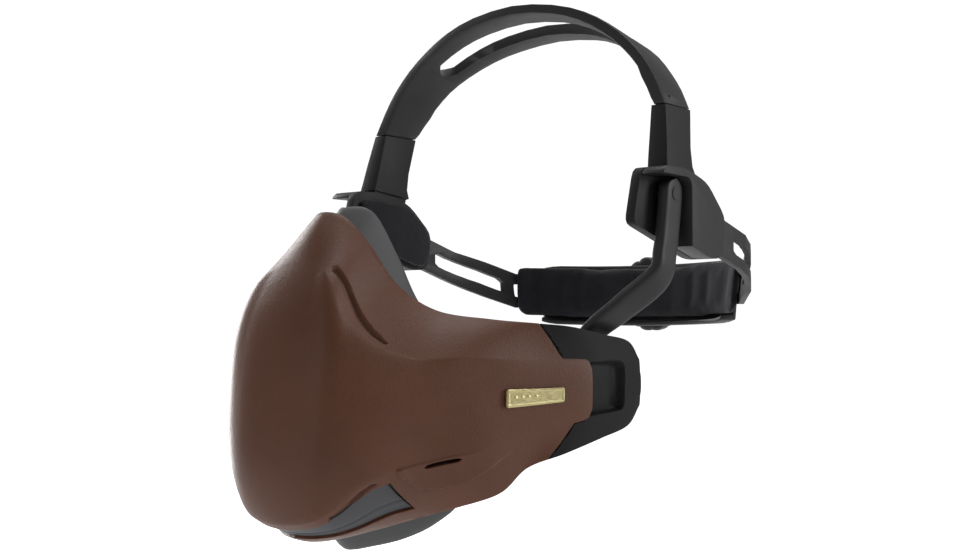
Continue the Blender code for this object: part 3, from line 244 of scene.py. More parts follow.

# %% [markdown]
# The arms and the harness are moulded charcoal plastic with the fine spark texture of the mould. The temple
# frames are nearly black. Both share one recipe with different tones. The arms get a darker copy of the
# charcoal, and that darkening is painted shade.


# %% Moulded plastics
def make_plastic(name, dark, light, smooth, rough, texture_depth, shine=0.3):
    made, tree, shader, place = new_finish(name, dark, rough)
    shader.inputs["Specular IOR Level"].default_value = shine
    clouds = pattern(tree, "ShaderNodeTexNoise", place, 60, 3)
    two_tone(tree, clouds.outputs["Fac"], dark, light, shader)
    vary(tree, clouds.outputs["Fac"], smooth, rough, shader.inputs["Roughness"])
    spark = pattern(tree, "ShaderNodeTexNoise", place, 2200, 3)
    add_bump(tree, shader, spark.outputs["Fac"], texture_depth, 0.6)
    return made


SPARK_DEPTH = 0.00005
VENT_SPARK_DEPTH = 0.00004
CHARCOAL = make_plastic(
    "charcoal_plastic", (0.0185, 0.0187, 0.0205), (0.023, 0.0232, 0.025), 0.40, 0.50, SPARK_DEPTH)
# The arms' copy of the charcoal is darker and less shiny; its darker tone is painted shade.
ARM_CHARCOAL_PAINTED_SHADE = make_plastic(
    "arm_plastic_painted_shade", (0.0100, 0.0101, 0.0115), (0.0130, 0.0131, 0.0145), 0.52, 0.62, SPARK_DEPTH, 0.14)
NEAR_BLACK = make_plastic(
    "near_black_plastic", (0.0115, 0.0115, 0.0128), (0.0145, 0.0145, 0.016), 0.46, 0.56, SPARK_DEPTH, 0.2)
VENT_GREY = make_plastic(
    "vent_grey_plastic", (0.050, 0.051, 0.057), (0.060, 0.061, 0.068), 0.42, 0.52, VENT_SPARK_DEPTH)


# %% Rubber, felt and metals
def make_rubber():
    made, tree, shader, place = new_finish("seal_rubber", (0.060, 0.061, 0.064), 0.55)
    clouds = pattern(tree, "ShaderNodeTexNoise", place, 70, 3)
    two_tone(tree, clouds.outputs["Fac"], (0.054, 0.055, 0.058), (0.066, 0.067, 0.070), shader)
    vary(tree, clouds.outputs["Fac"], 0.50, 0.62, shader.inputs["Roughness"])
    skin = pattern(tree, "ShaderNodeTexNoise", place, 1500, 3)
    add_bump(tree, shader, skin.outputs["Fac"], 0.00004, 0.5)
    return made


def make_felt():
    made, tree, shader, place = new_finish("filter_felt", (0.70, 0.70, 0.66), 0.95)
    fibres = pattern(tree, "ShaderNodeTexNoise", place, 900, 6, (1, 1, 4))
    two_tone(tree, fibres.outputs["Fac"], (0.60, 0.60, 0.56), (0.74, 0.74, 0.70), shader)
    add_bump(tree, shader, fibres.outputs["Fac"], 0.0003, 0.8)
    return made


def make_metal(name, dark, light, roughness, stretch):
    """Brushed metal: the scratches are noise drawn out along one axis."""
    made, tree, shader, place = new_finish(name, dark, roughness, 1.0)
    scratches = pattern(tree, "ShaderNodeTexNoise", place, 1800, 4, stretch)
    two_tone(tree, scratches.outputs["Fac"], dark, light, shader)
    vary(tree, scratches.outputs["Fac"], roughness - 0.06, roughness + 0.08, shader.inputs["Roughness"])
    add_bump(tree, shader, scratches.outputs["Fac"], 0.00002, 0.4)
    return made


RUBBER = make_rubber()
FELT = make_felt()
PALE_GOLD = make_metal("pale_gold", (0.50, 0.43, 0.21), (0.62, 0.55, 0.30), 0.34, (1, 0.05, 1))
STEEL = make_metal("satin_steel", (0.40, 0.40, 0.41), (0.52, 0.52, 0.53), 0.32, (0.1, 1, 1))
print("finishes ready")


# %% Pad knit
def make_knit():
    """Tight black knit: two crossed waves make the stitches, and a sheen lifts the edges."""
    made, tree, shader, place = new_finish("pad_knit", (0.010, 0.0095, 0.0125), 0.85)
    clouds = pattern(tree, "ShaderNodeTexNoise", place, 120, 3)
    two_tone(tree, clouds.outputs["Fac"], (0.0085, 0.008, 0.0105), (0.013, 0.0125, 0.016), shader)
    wales = pattern(tree, "ShaderNodeTexWave", place, 420, 1)
    wales.bands_direction = "Z"
    courses = pattern(tree, "ShaderNodeTexWave", place, 420, 1)
    courses.bands_direction = "DIAGONAL"
    stitch = tree.nodes.new("ShaderNodeMath")
    stitch.operation = "MULTIPLY"
    tree.links.new(wales.outputs["Fac"], stitch.inputs[0])
    tree.links.new(courses.outputs["Fac"], stitch.inputs[1])
    add_bump(tree, shader, stitch.outputs["Value"], 0.00012, 0.5)
    shader.inputs["Sheen Weight"].default_value = 0.08
    shader.inputs["Specular IOR Level"].default_value = 0.2
    shader.inputs["Sheen Roughness"].default_value = 0.5
    return made


KNIT = make_knit()

# %% [markdown]
# ## The mask's surface
# The mask is one sculpted form: five lines run from the centre plane back along the arm, and the surface is
# drawn between them. The shell and the arms both lie on it, so it is written once, as a function of a
# station along the lines and a share across them. Upper bevel, panel and lower bevel meet in two creases.

# %% The five lines, in millimetres
UPPER_RIM = (
    (0, -107.5, -10), (8, -104.3, -12.2), (14.5, -98.5, -22), (21.5, -91, -36.5),
    (31, -80.5, -45.5), (44, -66, -48.5), (54, -50, -50), (60.5, -38, -51.2),
    (64, -22, -54), (65.1, -6.5, -56.6), (65.7, 0.4, -63.5),
)
UPPER_CREASE = (
    (0, -121.5, -29), (10, -121.6, -31), (19, -123, -37), (26.5, -119.5, -52),
    (36.5, -102, -62), (48, -80, -62.4), (57, -52, -63.5), (63.5, -31, -64),
    (65.4, -16, -64), (66.2, -6, -65), (66.4, 0, -68.5),
)
MIDDLE_LINE = (
    (0, -134, -75), (15.5, -133, -75), (24.5, -129.5, -75), (31, -120, -75.5),
    (39.5, -101, -76), (48.5, -79, -76), (57.8, -51.5, -75.5), (64.2, -31, -74.5),
    (66, -16, -74), (66.6, -6, -73.5), (66.8, 0, -73),
)
LOWER_CREASE = (
    (0, -130.5, -119.3), (13.5, -129, -118), (21.6, -125.7, -113.8),
    (31, -118.5, -104.3), (39.5, -98.5, -98.8), (48.5, -81, -95.5),
    (57, -52, -89), (63.5, -31, -85), (65.4, -16, -83.5), (66.2, -6, -82),
    (66.4, 0, -77.5),
)
LOWER_RIM = (
    (0, -104, -127), (12, -101, -125), (20, -97, -122.8), (28, -90, -119.8),
    (38, -79.5, -116.2), (49, -67, -111.2), (54, -57, -102.5), (60.5, -43, -98),
    (64.3, -24, -93), (65.4, -7.5, -89), (65.9, 0.2, -81.5),
)
LAST_STATION = 10
SHELL_WALL = 2.2 * MM


# %% Points on the surface
def on_curve(before, inner, outer, after, u):
    """A smooth curve from inner to outer that also knows its neighbours."""
    return 0.5 * (
        2 * inner
        + (outer - before) * u
        + (2 * before - 5 * inner + 4 * outer - after) * u * u
        + (3 * inner - before - 3 * outer + after) * u ** 3
    )


@lru_cache(maxsize=None)
def along(line, s):
    """Point of a line at station s, mirrored for s below 0."""
    side = -1.0 if s < 0 else 1.0
    s = min(abs(s), LAST_STATION)
    i = min(int(s), LAST_STATION - 1)
    inner = Vector(line[i])
    outer = Vector(line[i + 1])
    before = Vector(line[i - 1]) if i else Vector((-line[1][0], *line[1][1:]))
    after = Vector(line[i + 2]) if i + 2 <= LAST_STATION else 2 * outer - inner
    point = on_curve(before, inner, outer, after, s - i)
    point.x *= side
    return point * MM


def sharp_point(s, t):
    """The surface with its creases sharp: t 0-1 upper bevel, 1-2 panel, 2-3 lower bevel."""
    upper = along(UPPER_CREASE, s)
    lower = along(LOWER_CREASE, s)
    if t < 1:
        point = along(UPPER_RIM, s).lerp(upper, t)
        point.z += 1.2 * MM * math.sin(math.pi * max(0.0, t))
    elif t > 2:
        point = lower.lerp(along(LOWER_RIM, s), t - 2)
        chin = 3.0 * math.exp(-(s / 3) ** 2) + 0.6
        point.z -= chin * MM * math.sin(math.pi * min(1.0, t - 2))
    else:
        bulge = along(MIDDLE_LINE, s) - 0.5 * (upper + lower)
        point = upper.lerp(lower, t - 1) + bulge * (1 - abs(2 * t - 3) ** 3)
    return point


CREASE_EASE = 0.035  # how far each side of a crease is drawn into its round edge


def mask_point(s, t):
    """The surface with its two creases rounded."""
    near = min(abs(t - 1), abs(t - 2))
    if near > CREASE_EASE * 1.5:
        return sharp_point(s, t)
    ease = CREASE_EASE * (1 - near / (CREASE_EASE * 1.5))
    return (sharp_point(s, t - ease) + 2 * sharp_point(s, t) + sharp_point(s, t + ease)) / 4


def inward(s, t):
    """Unit vector into the mask."""
    step = 0.1
    s = max(-LAST_STATION + step, min(LAST_STATION - step, s))
    across = sharp_point(s + step, t) - sharp_point(s - step, t)
    down = sharp_point(s, t + step) - sharp_point(s, t - step)
    return across.cross(down).normalized()


print("front of the mask at", tuple(round(v, 4) for v in mask_point(0, 1.5)))


# %% Working on meshes
def select_only(*pieces):
    bpy.ops.object.select_all(action="DESELECT")
    for piece in pieces:
        piece.select_set(True)
    bpy.context.view_layer.objects.active = pieces[0]


def apply_modifier(piece, kind, **settings):
    """Adds a modifier, sets it up, and makes it part of the mesh."""
    select_only(piece)
    modifier = piece.modifiers.new(kind.title(), kind)
    for key, value in settings.items():
        setattr(modifier, key, value)
    bpy.ops.object.modifier_apply(modifier=modifier.name)


def face_outward(piece):
    select_only(piece)
    bpy.ops.object.mode_set(mode="EDIT")
    bpy.ops.mesh.select_all(action="SELECT")
    bpy.ops.mesh.remove_doubles(threshold=0.00001)
    bpy.ops.mesh.normals_make_consistent(inside=False)
    bpy.ops.object.mode_set(mode="OBJECT")


def drape_grid(name, columns, rows, place):
    """A primitive grid whose points are moved to place(u, v), with u and v from 0 to 1."""
    bpy.ops.object.select_all(action="DESELECT")
    bpy.ops.mesh.primitive_grid_add(x_subdivisions=columns, y_subdivisions=rows, size=1)
    sheet = bpy.context.object
    sheet.name = name
    sheet.data.name = name
    for vertex in sheet.data.vertices:
        vertex.co = place(vertex.co.x + 0.5, vertex.co.y + 0.5)
    sheet.data.update()
    return sheet


def add_walls(piece, wall, outside_at):
    """Gives an open sheet its wall on the inner side, and turns its faces outwards."""
    select_only(piece)
    faces = piece.data.polygons
    middle = faces[len(faces) // 2]
    if middle.normal.dot(outside_at) < 0:
        bpy.ops.object.mode_set(mode="EDIT")
        bpy.ops.mesh.select_all(action="SELECT")
        bpy.ops.mesh.flip_normals()
        bpy.ops.object.mode_set(mode="OBJECT")
    apply_modifier(piece, "SOLIDIFY", thickness=wall, offset=-1, use_even_offset=False)


def ease_edges(piece, width, segments=2, angle=40):
    apply_modifier(
        piece, "BEVEL", width=width, segments=segments, limit_method="ANGLE",
        angle_limit=math.radians(angle), use_clamp_overlap=True, harden_normals=False)


def shade(piece, angle=35):
    select_only(piece)
    bpy.ops.object.shade_smooth_by_angle(angle=math.radians(angle))


def dress(piece, finish, slot, body, *nodes):
    """Last step of a piece: its finish, its body and the nodes it stands for. The slot argument is not used.
    """
    piece.data.materials.clear()
    piece.data.materials.append(finish)
    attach(piece, body)
    if nodes:
        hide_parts(*nodes)
    print(piece.name, len(piece.data.polygons), "faces on", body)


# %% [markdown]
# ## The shell
# The real shell is one moulded piece from arm to arm: a smooth panel with a bevel above and below, an outline
# that ends on slants, and a tongue that runs back into each arm. A grid draped over the surface gives clean
# rows along the creases. Its rows are packed where the pressed grooves lie.

# %% Outline of the shell
TONGUE_END = 7.05
ROWS_ABOVE = (0, 0.08, 0.2, 0.33, 0.46, 0.58, 0.68, *(0.70 + 0.0135 * i for i in range(22)))
ROWS_PANEL = (
    *(1 + 0.012 * i for i in range(7)), *(1.084 + 0.0378 * i for i in range(1, 22)),
    *(1.916 + 0.012 * i for i in range(8)))
ROWS_BELOW = (*(2.012 + 0.0155 * i for i in range(33)), 2.56, 2.63, 2.7, 2.78, 2.86, 2.93, 3.0)


def bevel_ends(s):
    """Top and foot of the shell at s: each bevel stops on a slant, and the panel runs on."""
    top = min(0.95, max(0.0, (abs(s) - 6.0) / 0.4))
    run = min(1.0, max(0.0, (6.65 - abs(s)) / 0.1))
    return top, 2.05 + 0.95 * run


def rescale(rows, first, last):
    low, high = rows[0], rows[-1]
    return [first + (last - first) * (row - low) / (high - low) for row in rows]


@lru_cache(maxsize=None)
def shell_rows(s):
    """Every row's share across the surface at a station."""
    top, foot = bevel_ends(s)
    corner = max(0.0, abs(s) - TONGUE_END + 0.2)
    corner = 0.2 - math.sqrt(max(0.0, 0.04 - corner * corner)) if corner else 0.0
    top += corner
    foot -= corner
    above = rescale(ROWS_ABOVE, top, 1.0 - 0.0025 if top < 0.9 else top + 0.06)
    below = rescale(ROWS_BELOW, 2.012 if foot > 2.1 else foot - 0.04, foot)
    panel_first = 1.0 if top < 0.9 else above[-1] + 0.012
    panel_last = 2.0 if foot > 2.1 else below[0] - 0.012
    return [*above, *rescale(ROWS_PANEL, panel_first, panel_last), *below]


ROW_COUNT = len(shell_rows(0.0)) - 1
SHELL_COLUMNS = 282
print("rows", ROW_COUNT + 1, "columns", SHELL_COLUMNS + 1)

# %% Pressed grooves and the raised ledge, as (station, share) points with widths in millimetres
NOSE_GROOVE = ((1.86, 0.80), (2.24, 0.785), (2.68, 0.795), (3.06, 0.85), (3.31, 0.89), (3.56, 0.925))
NOSE_WIDTHS = (1.5, 1.7, 1.7, 1.6, 1.3, 0.5)
CHIN_GROOVE = ((1.8, 2.12), (2.35, 2.12), (2.7, 2.11), (3.1, 2.09))
CHIN_WIDTHS = (1.2, 1.3, 1.1, 0.4)
LEDGE = ((3.58, 2.0), (3.61, 2.2), (3.75, 2.36), (4.07, 2.47), (4.59, 2.46), (5.04, 2.40), (5.39, 2.29),
         (5.75, 2.1))
LEDGE_RISE = 1.7 * MM
MM_PER_SHARE = 17 * MM  # how wide the lower bevel is there


def ledge_foot(s):
    """Share at which the raised ledge under the air slot ends, at a station."""
    for (near_s, near_t), (far_s, far_t) in zip(LEDGE, LEDGE[1:]):
        if near_s <= s <= far_s:
            return near_t + (far_t - near_t) * soft_step((s - near_s) / (far_s - near_s))
    return 2.0


def densely(path, widths, steps=8):
    """The path as many points on the surface, each with its half width and its station."""
    dense = []
    for i in range(len(path) - 1):
        before = Vector(path[max(0, i - 1)])
        after = Vector(path[min(len(path) - 1, i + 2)])
        for k in range(steps + (i == len(path) - 2)):
            u = k / steps
            s, t = on_curve(before, Vector(path[i]), Vector(path[i + 1]), after, u)
            width = widths[i] + (widths[i + 1] - widths[i]) * u
            dense.append((mask_point(s, t), width * MM, s, t))
    return dense


def nearest_on(path, point):
    """Distance to the path, and the half width there."""
    return min((((place - point).length), width) for place, width, _, _ in path)


PRESSED = [(densely(NOSE_GROOVE, NOSE_WIDTHS), 1.6 * MM), (densely(CHIN_GROOVE, CHIN_WIDTHS), 1.4 * MM)]


def soft_step(x):
    x = min(1.0, max(0.0, x))
    return x * x * (3 - 2 * x)


def relief(s, t, point):
    """How far the surface is pressed in here, in metres; below 0 where it is raised."""
    s = abs(s)
    point = Vector((abs(point.x), point.y, point.z))
    depth = 0.0
    for path, most in PRESSED:
        if path[0][2] - 0.3 < s < path[-1][2] + 0.3 and abs(t - path[len(path) // 2][3]) < 0.3:
            distance, width = nearest_on(path, point)
            depth += most * soft_step((width - distance) / (0.8 * MM) + 0.4)
    if LEDGE[0][0] < s < LEDGE[-1][0] and t > 2.0:
        inside = (ledge_foot(s) - t) * MM_PER_SHARE
        fade = soft_step((LEDGE[-1][0] - s) / 1.3)
        rise = LEDGE_RISE * fade * soft_step(0.5 + inside / (0.5 * MM))
        depth -= rise * math.exp(-max(0.0, inside) / (5 * MM))
    return depth


def shell_place(u, v):
    s = round((2 * u - 1) * TONGUE_END, 5)
    t = shell_rows(s)[round(v * ROW_COUNT)]
    point = mask_point(s, t)
    return point + inward(s, t) * relief(s, t, point)


shell = drape_grid("front_shell", SHELL_COLUMNS, ROW_COUNT, shell_place)
add_walls(shell, SHELL_WALL, Vector((0, -1, 0)))
print("shell sheet", len(shell.data.vertices), "points")


# %% Cut the air slots and the chin window
def surface_bar(name, path, half_width, shallow, deep):
    """A cutter that follows a path over the surface."""
    dense = densely(path, [half_width / MM] * len(path))
    last = len(dense) - 1

    def place(u, v):
        i = round(u * last)
        point, _, s, t = dense[i]
        run = dense[min(last, i + 1)][0] - dense[max(0, i - 1)][0]
        side = run.cross(inward(s, t)).normalized()
        taper = half_width * (1 - 0.85 * abs(2 * u - 1) ** 6)
        return point + inward(s, t) * shallow + side * taper * (2 * v - 1)

    bar = drape_grid(name, last, 2, place)
    middle = dense[last // 2]
    add_walls(bar, deep - shallow, -inward(middle[2], middle[3]))
    face_outward(bar)
    return bar


def subtract(piece, cutter):
    apply_modifier(piece, "BOOLEAN", object=cutter, operation="DIFFERENCE", solver="MANIFOLD")
    bpy.data.objects.remove(cutter, do_unlink=True)


for side_name, side in SIDES:
    slot_path = [(side * s, t) for s, t in ((3.98, 2.068), (4.35, 2.062), (4.73, 2.068))]
    subtract(shell, surface_bar(f"air_slot_{side_name}", slot_path, 0.85 * MM, -3 * MM, 4 * MM))

VENT_END = 3.3


def window_place(margin):
    def place(u, v):
        s = (2 * u - 1) * (VENT_END + margin)
        share = min(1.0, abs(s) / VENT_END)
        first = 2.15 + 0.02 * share - margin * 0.35
        last = 2.34 + 0.38 * share + margin * 0.35
        t = first + (last - first) * v
        return mask_point(s, t) - inward(s, t) * 3 * MM
    return place


window = drape_grid("chin_window", 48, 6, window_place(0.04))
add_walls(window, 8 * MM, -inward(0, 2.24))
face_outward(window)
subtract(shell, window)
ease_edges(shell, 0.35 * MM, 2, 50)
shade(shell, 40)
dress(shell, HIDE, "leather_shell", "cover", "front_cover")

# %% [markdown]
# ## Chin vent
# A smooth grey blade fills the window under the chin, sunk a little, with one fine line along it. The blade is
# two draped grids joined round their edges.


# %% Two grids joined into a solid
def solid_between(name, columns, rows, outer_place, inner_place):
    """A closed piece between two draped grids: their open edges are bridged."""
    outer = drape_grid(name, columns, rows, outer_place)
    inner = drape_grid(f"{name}_inner", columns, rows, inner_place)
    select_only(outer, inner)
    bpy.ops.object.join()
    bpy.ops.object.mode_set(mode="EDIT")
    bpy.ops.mesh.select_mode(type="EDGE")
    bpy.ops.mesh.select_all(action="DESELECT")
    bpy.ops.mesh.select_non_manifold()
    bpy.ops.mesh.bridge_edge_loops()
    bpy.ops.object.mode_set(mode="OBJECT")
    face_outward(outer)
    return outer


def at_depth(s, t, depth):
    return mask_point(s, t) + inward(s, t) * depth


# %% The blade
def blade_place(depth, line_depth):
    def place(u, v):
        s = (2 * u - 1) * VENT_END
        share = abs(s) / VENT_END
        first = 2.15 + 0.02 * share
        last = 2.34 + 0.38 * share
        line = math.exp(-((v - 0.62) / 0.035) ** 2)
        return at_depth(s, first + (last - first) * v, depth + line_depth * line)
    return place


blade = solid_between(
    "chin_blade", 90, 26, blade_place(0.9 * MM, 0.35 * MM), blade_place(2.2 * MM, 0))
ease_edges(blade, 0.2 * MM, 2, 60)
shade(blade, 40)
dress(blade, VENT_GREY, "grey_rubber", "cover", "chin_vent")

# %% [markdown]
# ## Badge
# A small pale-gold plate with a raised border is riveted to the wearer's left side. Its marks are plain
# raised dots, so that it says nothing.

# %% Badge
BADGE_STATIONS = (5.39, 6.34)
BADGE_SHARES = (1.43, 1.65)
BADGE_LENGTH, BADGE_HEIGHT = 25.0, 7.2
BADGE_CORNER = 1.1
DOT_PLACES = (0.14, 0.24, 0.34, 0.46)


def badge_place(depth, relief_scale):
    def place(u, v):
        x = (u - 0.5) * BADGE_LENGTH
        y = (v - 0.5) * BADGE_HEIGHT
        over_x = abs(x) - (BADGE_LENGTH / 2 - BADGE_CORNER)
        over_y = abs(y) - (BADGE_HEIGHT / 2 - BADGE_CORNER)
        if over_x > 0 and over_y > 0:
            draw_in = max(over_x, over_y) / math.hypot(over_x, over_y)
            x = math.copysign(BADGE_LENGTH / 2 - BADGE_CORNER + over_x * draw_in, x)
            y = math.copysign(BADGE_HEIGHT / 2 - BADGE_CORNER + over_y * draw_in, y)
        edge = min(BADGE_LENGTH / 2 - abs(x), BADGE_HEIGHT / 2 - abs(y))
        border = soft_step((edge - 0.15) / 0.25) * soft_step((1.15 - edge) / 0.25)
        dots = sum(
            soft_step(1.3 - math.hypot(x - (at - 0.5) * BADGE_LENGTH, y + 0.2) / 0.55) for at in DOT_PLACES)
        s = BADGE_STATIONS[0] + (x / BADGE_LENGTH + 0.5) * (BADGE_STATIONS[1] - BADGE_STATIONS[0])
        t = BADGE_SHARES[0] + (y / BADGE_HEIGHT + 0.5) * (BADGE_SHARES[1] - BADGE_SHARES[0])
        return at_depth(s, t, depth - relief_scale * (0.22 * border + 0.16 * dots) * MM)
    return place


badge = solid_between("badge_plate", 110, 34, badge_place(-1.3 * MM, 1), badge_place(-0.1 * MM, 0))
ease_edges(badge, 0.15 * MM, 2, 60)
shade(badge, 45)
dress(badge, PALE_GOLD, "badge_metal", "cover", "badge")

# %% [markdown]
# ## Side arms
# Each arm is a charcoal moulding that laps behind the mask's inner frame and ends in a D. The shell's tongue
# lies in a recess, so that both faces are flush, and the recess runs on past the tongue to a deeper slot.
# One depth function presses all of it into the outer grid.

# %% How deep the arm's outer face lies
ARM_FIRST = 4.6
ARM_WALL = 4.6 * MM
LAP_DEPTH = 5.0 * MM
LAP_BOTTOM = 7.0 * MM
POCKET_DEPTH = 2.6 * MM
SLOT_DEPTH = 3.6 * MM
RECESS_END = 8.4
GROOVE_BACK = 3.6  # millimetres from the recess end to the middle of its groove
PANEL_MM = 21.0
STATION_MM = 13.0
ARM_ROWS = (
    *(0.075 * i for i in range(12)), *(0.9 + 0.0125 * i for i in range(20)),
    *(1.15 + 0.035 * i for i in range(20)),
    *(1.85 + 0.0125 * i for i in range(26)), *(2.18 + 0.0586 * i for i in range(15)))


def pocket_depth(s, t):
    """Recess for the shell and its tongue, with the slot at its back end."""
    top, foot = bevel_ends(s - 0.02)
    top_share = max(top, 1.0) if s > 6.38 else top
    beyond = (RECESS_END - s) * STATION_MM
    above = (t - top_share + 0.012) * PANEL_MM if s > 6.0 else 9.0
    below = (foot + 0.012 - t) * PANEL_MM if s > 6.5 else 9.0
    if s > 6.9:
        above = (t - 1.03) * PANEL_MM
        below = (1.97 - t) * PANEL_MM
    corner = 2.6
    if beyond < corner and min(above, below) < corner:
        inside = corner - math.hypot(corner - beyond, corner - min(above, below))
    else:
        inside = min(above, below, beyond)
    edge = 0.7 + 1.6 * soft_step((s - 7.2) / 0.5) * soft_step((1.6 - t) / 0.3)
    depth = POCKET_DEPTH * soft_step(0.5 + inside / edge)
    groove = math.exp(-((beyond - GROOVE_BACK) / 2.2) ** 2) * soft_step(inside / 2)
    low_end = 0.6 * soft_step((t - 1.55) / 0.3)
    return depth + (SLOT_DEPTH - POCKET_DEPTH) * groove * (0.4 + low_end)


def arm_row(v):
    return ARM_ROWS[round(v * (len(ARM_ROWS) - 1))]


def arm_outer(side):
    def place(u, v):
        s = ARM_FIRST + (LAST_STATION - ARM_FIRST) * u
        lap = 1 - soft_step((s - 5.3) / 0.05)
        margin = 0.45 * lap
        t = margin + arm_row(v) * (1 - margin / 1.5)
        depth = pocket_depth(s, t)
        return at_depth(side * s, t, depth + (LAP_DEPTH - depth) * lap)
    return place


def arm_inner(side):
    def place(u, v):
        s = ARM_FIRST + (LAST_STATION - ARM_FIRST) * u
        lap = 1 - soft_step((s - 5.3) / 0.05)
        margin = 0.45 * lap
        t = margin + arm_row(v) * (1 - margin / 1.5)
        share = min(1.0, max(0.0, (s - 6.2) / 1.3))
        return at_depth(side * s, t, LAP_BOTTOM + (ARM_WALL - LAP_BOTTOM) * share)
    return place


for side_name, side in SIDES:
    arm = solid_between(f"arm_{side_name}", 135, len(ARM_ROWS) - 1, arm_outer(side), arm_inner(side))
    ease_edges(arm, 0.9 * MM, 3, 62)
    shade(arm, 35)
    # The arms wear the darkened charcoal: painted shade over charcoal plastic.
    dress(arm, ARM_CHARCOAL_PAINTED_SHADE, "charcoal_plastic", "mask", f"side_arm_{side_name}")

# %% [markdown]
# ## Face seal
# The seal is soft grey rubber: a broad skirt that leaves the mask's rim, sweeps over the nose and rolls in to
# a lip. Its solid is a plain loop of flat facets, so a smooth skin is drawn afresh: one grid through a ring of
# sections.


# %% A welded copy of a node
def copy_of(node, name):
    """The node's mesh as a new piece, its loose triangles welded."""
    select_only(frame["nodes"][node])
    bpy.ops.object.duplicate()
    piece = bpy.context.object
    piece.name = name
    piece.parent = None
    for key in list(piece.keys()):
        del piece[key]
    bpy.ops.object.mode_set(mode="EDIT")
    bpy.ops.mesh.select_all(action="SELECT")
    bpy.ops.mesh.remove_doubles(threshold=0.00002)
    bpy.ops.object.mode_set(mode="OBJECT")
    return piece


def join_triangles(piece, flat=1.0):
    """Joins coplanar triangles, as a start for bevels."""
    select_only(piece)
    bpy.ops.object.mode_set(mode="EDIT")
    bpy.ops.mesh.select_all(action="SELECT")
    bpy.ops.mesh.dissolve_limited(angle_limit=math.radians(flat))
    bpy.ops.object.mode_set(mode="OBJECT")


# %% The seal's own lines, from the nose round to the chin
SEAL_RIM = (
    (0, 0.44), (1, 0.44), (2, 0.45), (3, 0.5), (3.7, 0.65), (4.1, 0.95), (4.25, 1.5),
    (4.1, 2.1), (3.7, 2.35), (3, 2.45), (2, 2.52), (1, 2.6), (0, 2.6),
)
FACE_LINE = (
    (0, -96.5, -7.5), (7.5, -90, -9), (13, -82.5, -25), (20.5, -79, -42), (29, -71, -56),
    (36, -64, -67), (39, -61, -80), (37, -63, -96), (33, -69, -114), (26, -76.5, -123),
    (17.5, -84, -128.3), (8.5, -90.5, -131), (0, -94, -132.5),
)
SEAL_TOP = 5.4 * MM
SEAL_WALL = 1.6 * MM
SEAL_SAG = 4.5 * MM  # how far the seal draws in under the chin before it turns out


def seal_section(index):
    """Points round the seal's section: rim, middle, face line, rolled lip and back inside."""
    half = len(SEAL_RIM) - 1
    side = 1 if index <= half else -1
    i = index if index <= half else 2 * half - index
    rim = at_depth(*SEAL_RIM[i], SEAL_TOP)
    face = Vector(FACE_LINE[i]) * MM
    out = Vector((rim.x, 0, rim.z + 0.075)).normalized()
    back = Vector((0, 1, 0))
    middle = rim.lerp(face, 0.5) - out * SEAL_SAG * max(0.0, -out.z)
    lip = face - out * 5 * MM + back * 1.5 * MM
    loop = [
        rim, middle, face, lip, lip - back * SEAL_WALL, face - out * SEAL_WALL * 1.4 - back * SEAL_WALL,
        middle - out * SEAL_WALL * 1.3, rim - out * SEAL_WALL * 1.6 + back * 0.6 * MM]
    return [Vector((side * p.x, p.y, p.z)) for p in loop]


SEAL_RING = [seal_section(i) for i in range(2 * (len(SEAL_RIM) - 1))]


def round_about(points, u):
    """Point at a share u of a closed smooth curve."""
    count = len(points)
    at = u * count
    i = int(at) % count
    return on_curve(points[i - 1], points[i], points[(i + 1) % count], points[(i + 2) % count], at - int(at))


def seal_place(u, v):
    return round_about([round_about(section, v) for section in SEAL_RING], u % 1.0)


seal = drape_grid("nose_and_chin_seal", 240, 48, seal_place)
face_outward(seal)
shade(seal, 60)
dress(seal, RUBBER, "grey_rubber", "mask", "face_seal")

# %% [markdown]
# ## Link arms
# Each link is one flat bar with round ends. It drops from the temple pivot, bends inwards under the hub and
# ends beside the mask's arm. A grid rolled into a tube follows its middle line.

# %% Link arms
pivot_low, pivot_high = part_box("link_arm_left")
LINK_TOP_X = pivot_high.x - 2.5 * MM
foot_low, foot_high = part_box("link_pin_left")
FOOT_X = pivot_low.x + 1.7 * MM
FOOT_Y = (foot_low.y + foot_high.y) / 2
FOOT_Z = (foot_low.z + foot_high.z) / 2
LINK_HALF = 6 * MM
LINK_LINE = [Vector(p) for p in (
    (LINK_TOP_X, 0.7 * MM, 6 * MM), (LINK_TOP_X, 0, 0), (LINK_TOP_X, -1.6 * MM, -11 * MM),
    (LINK_TOP_X, -4.0 * MM, -22 * MM), (LINK_TOP_X - 1.4 * MM, -6.6 * MM, -32 * MM),
    (LINK_TOP_X - 12.5 * MM, -14 * MM, -43.5 * MM), (FOOT_X + 2.2 * MM, -18.6 * MM, -55 * MM),
    (FOOT_X, FOOT_Y, FOOT_Z), (FOOT_X, FOOT_Y - 0.6 * MM, FOOT_Z - 6 * MM),
)]
LINK_WALLS = (5, 5, 5, 5, 5, 5, 4.2, 3.4, 3.4)


def on_line(points, u):
    """Point at a share u of a smooth line through the points."""
    at = min(max(u, 0.0), 1.0) * (len(points) - 1)
    i = min(int(at), len(points) - 2)
    before = points[i - 1] if i else 2 * points[0] - points[1]
    after = points[i + 2] if i + 2 < len(points) else 2 * points[-1] - points[-2]
    return on_curve(before, points[i], points[i + 1], after, at - i)


LINK_LENGTH = sum((b - a).length for a, b in zip(LINK_LINE, LINK_LINE[1:]))


def even_share(u):
    """Turns a share of the bar's length into a share of its points."""
    gone = u * LINK_LENGTH
    for i, (a, b) in enumerate(zip(LINK_LINE, LINK_LINE[1:])):
        run = (b - a).length
        if gone <= run or i == len(LINK_LINE) - 2:
            return (i + min(1.0, gone / run)) / (len(LINK_LINE) - 1)
        gone -= run


def squared(angle, half_wide, half_thick, power=0.42):
    """Point of a flat section with small round edges."""
    c, s = math.cos(angle), math.sin(angle)
    return (math.copysign(abs(c) ** power, c) * half_wide, math.copysign(abs(s) ** power, s) * half_thick)


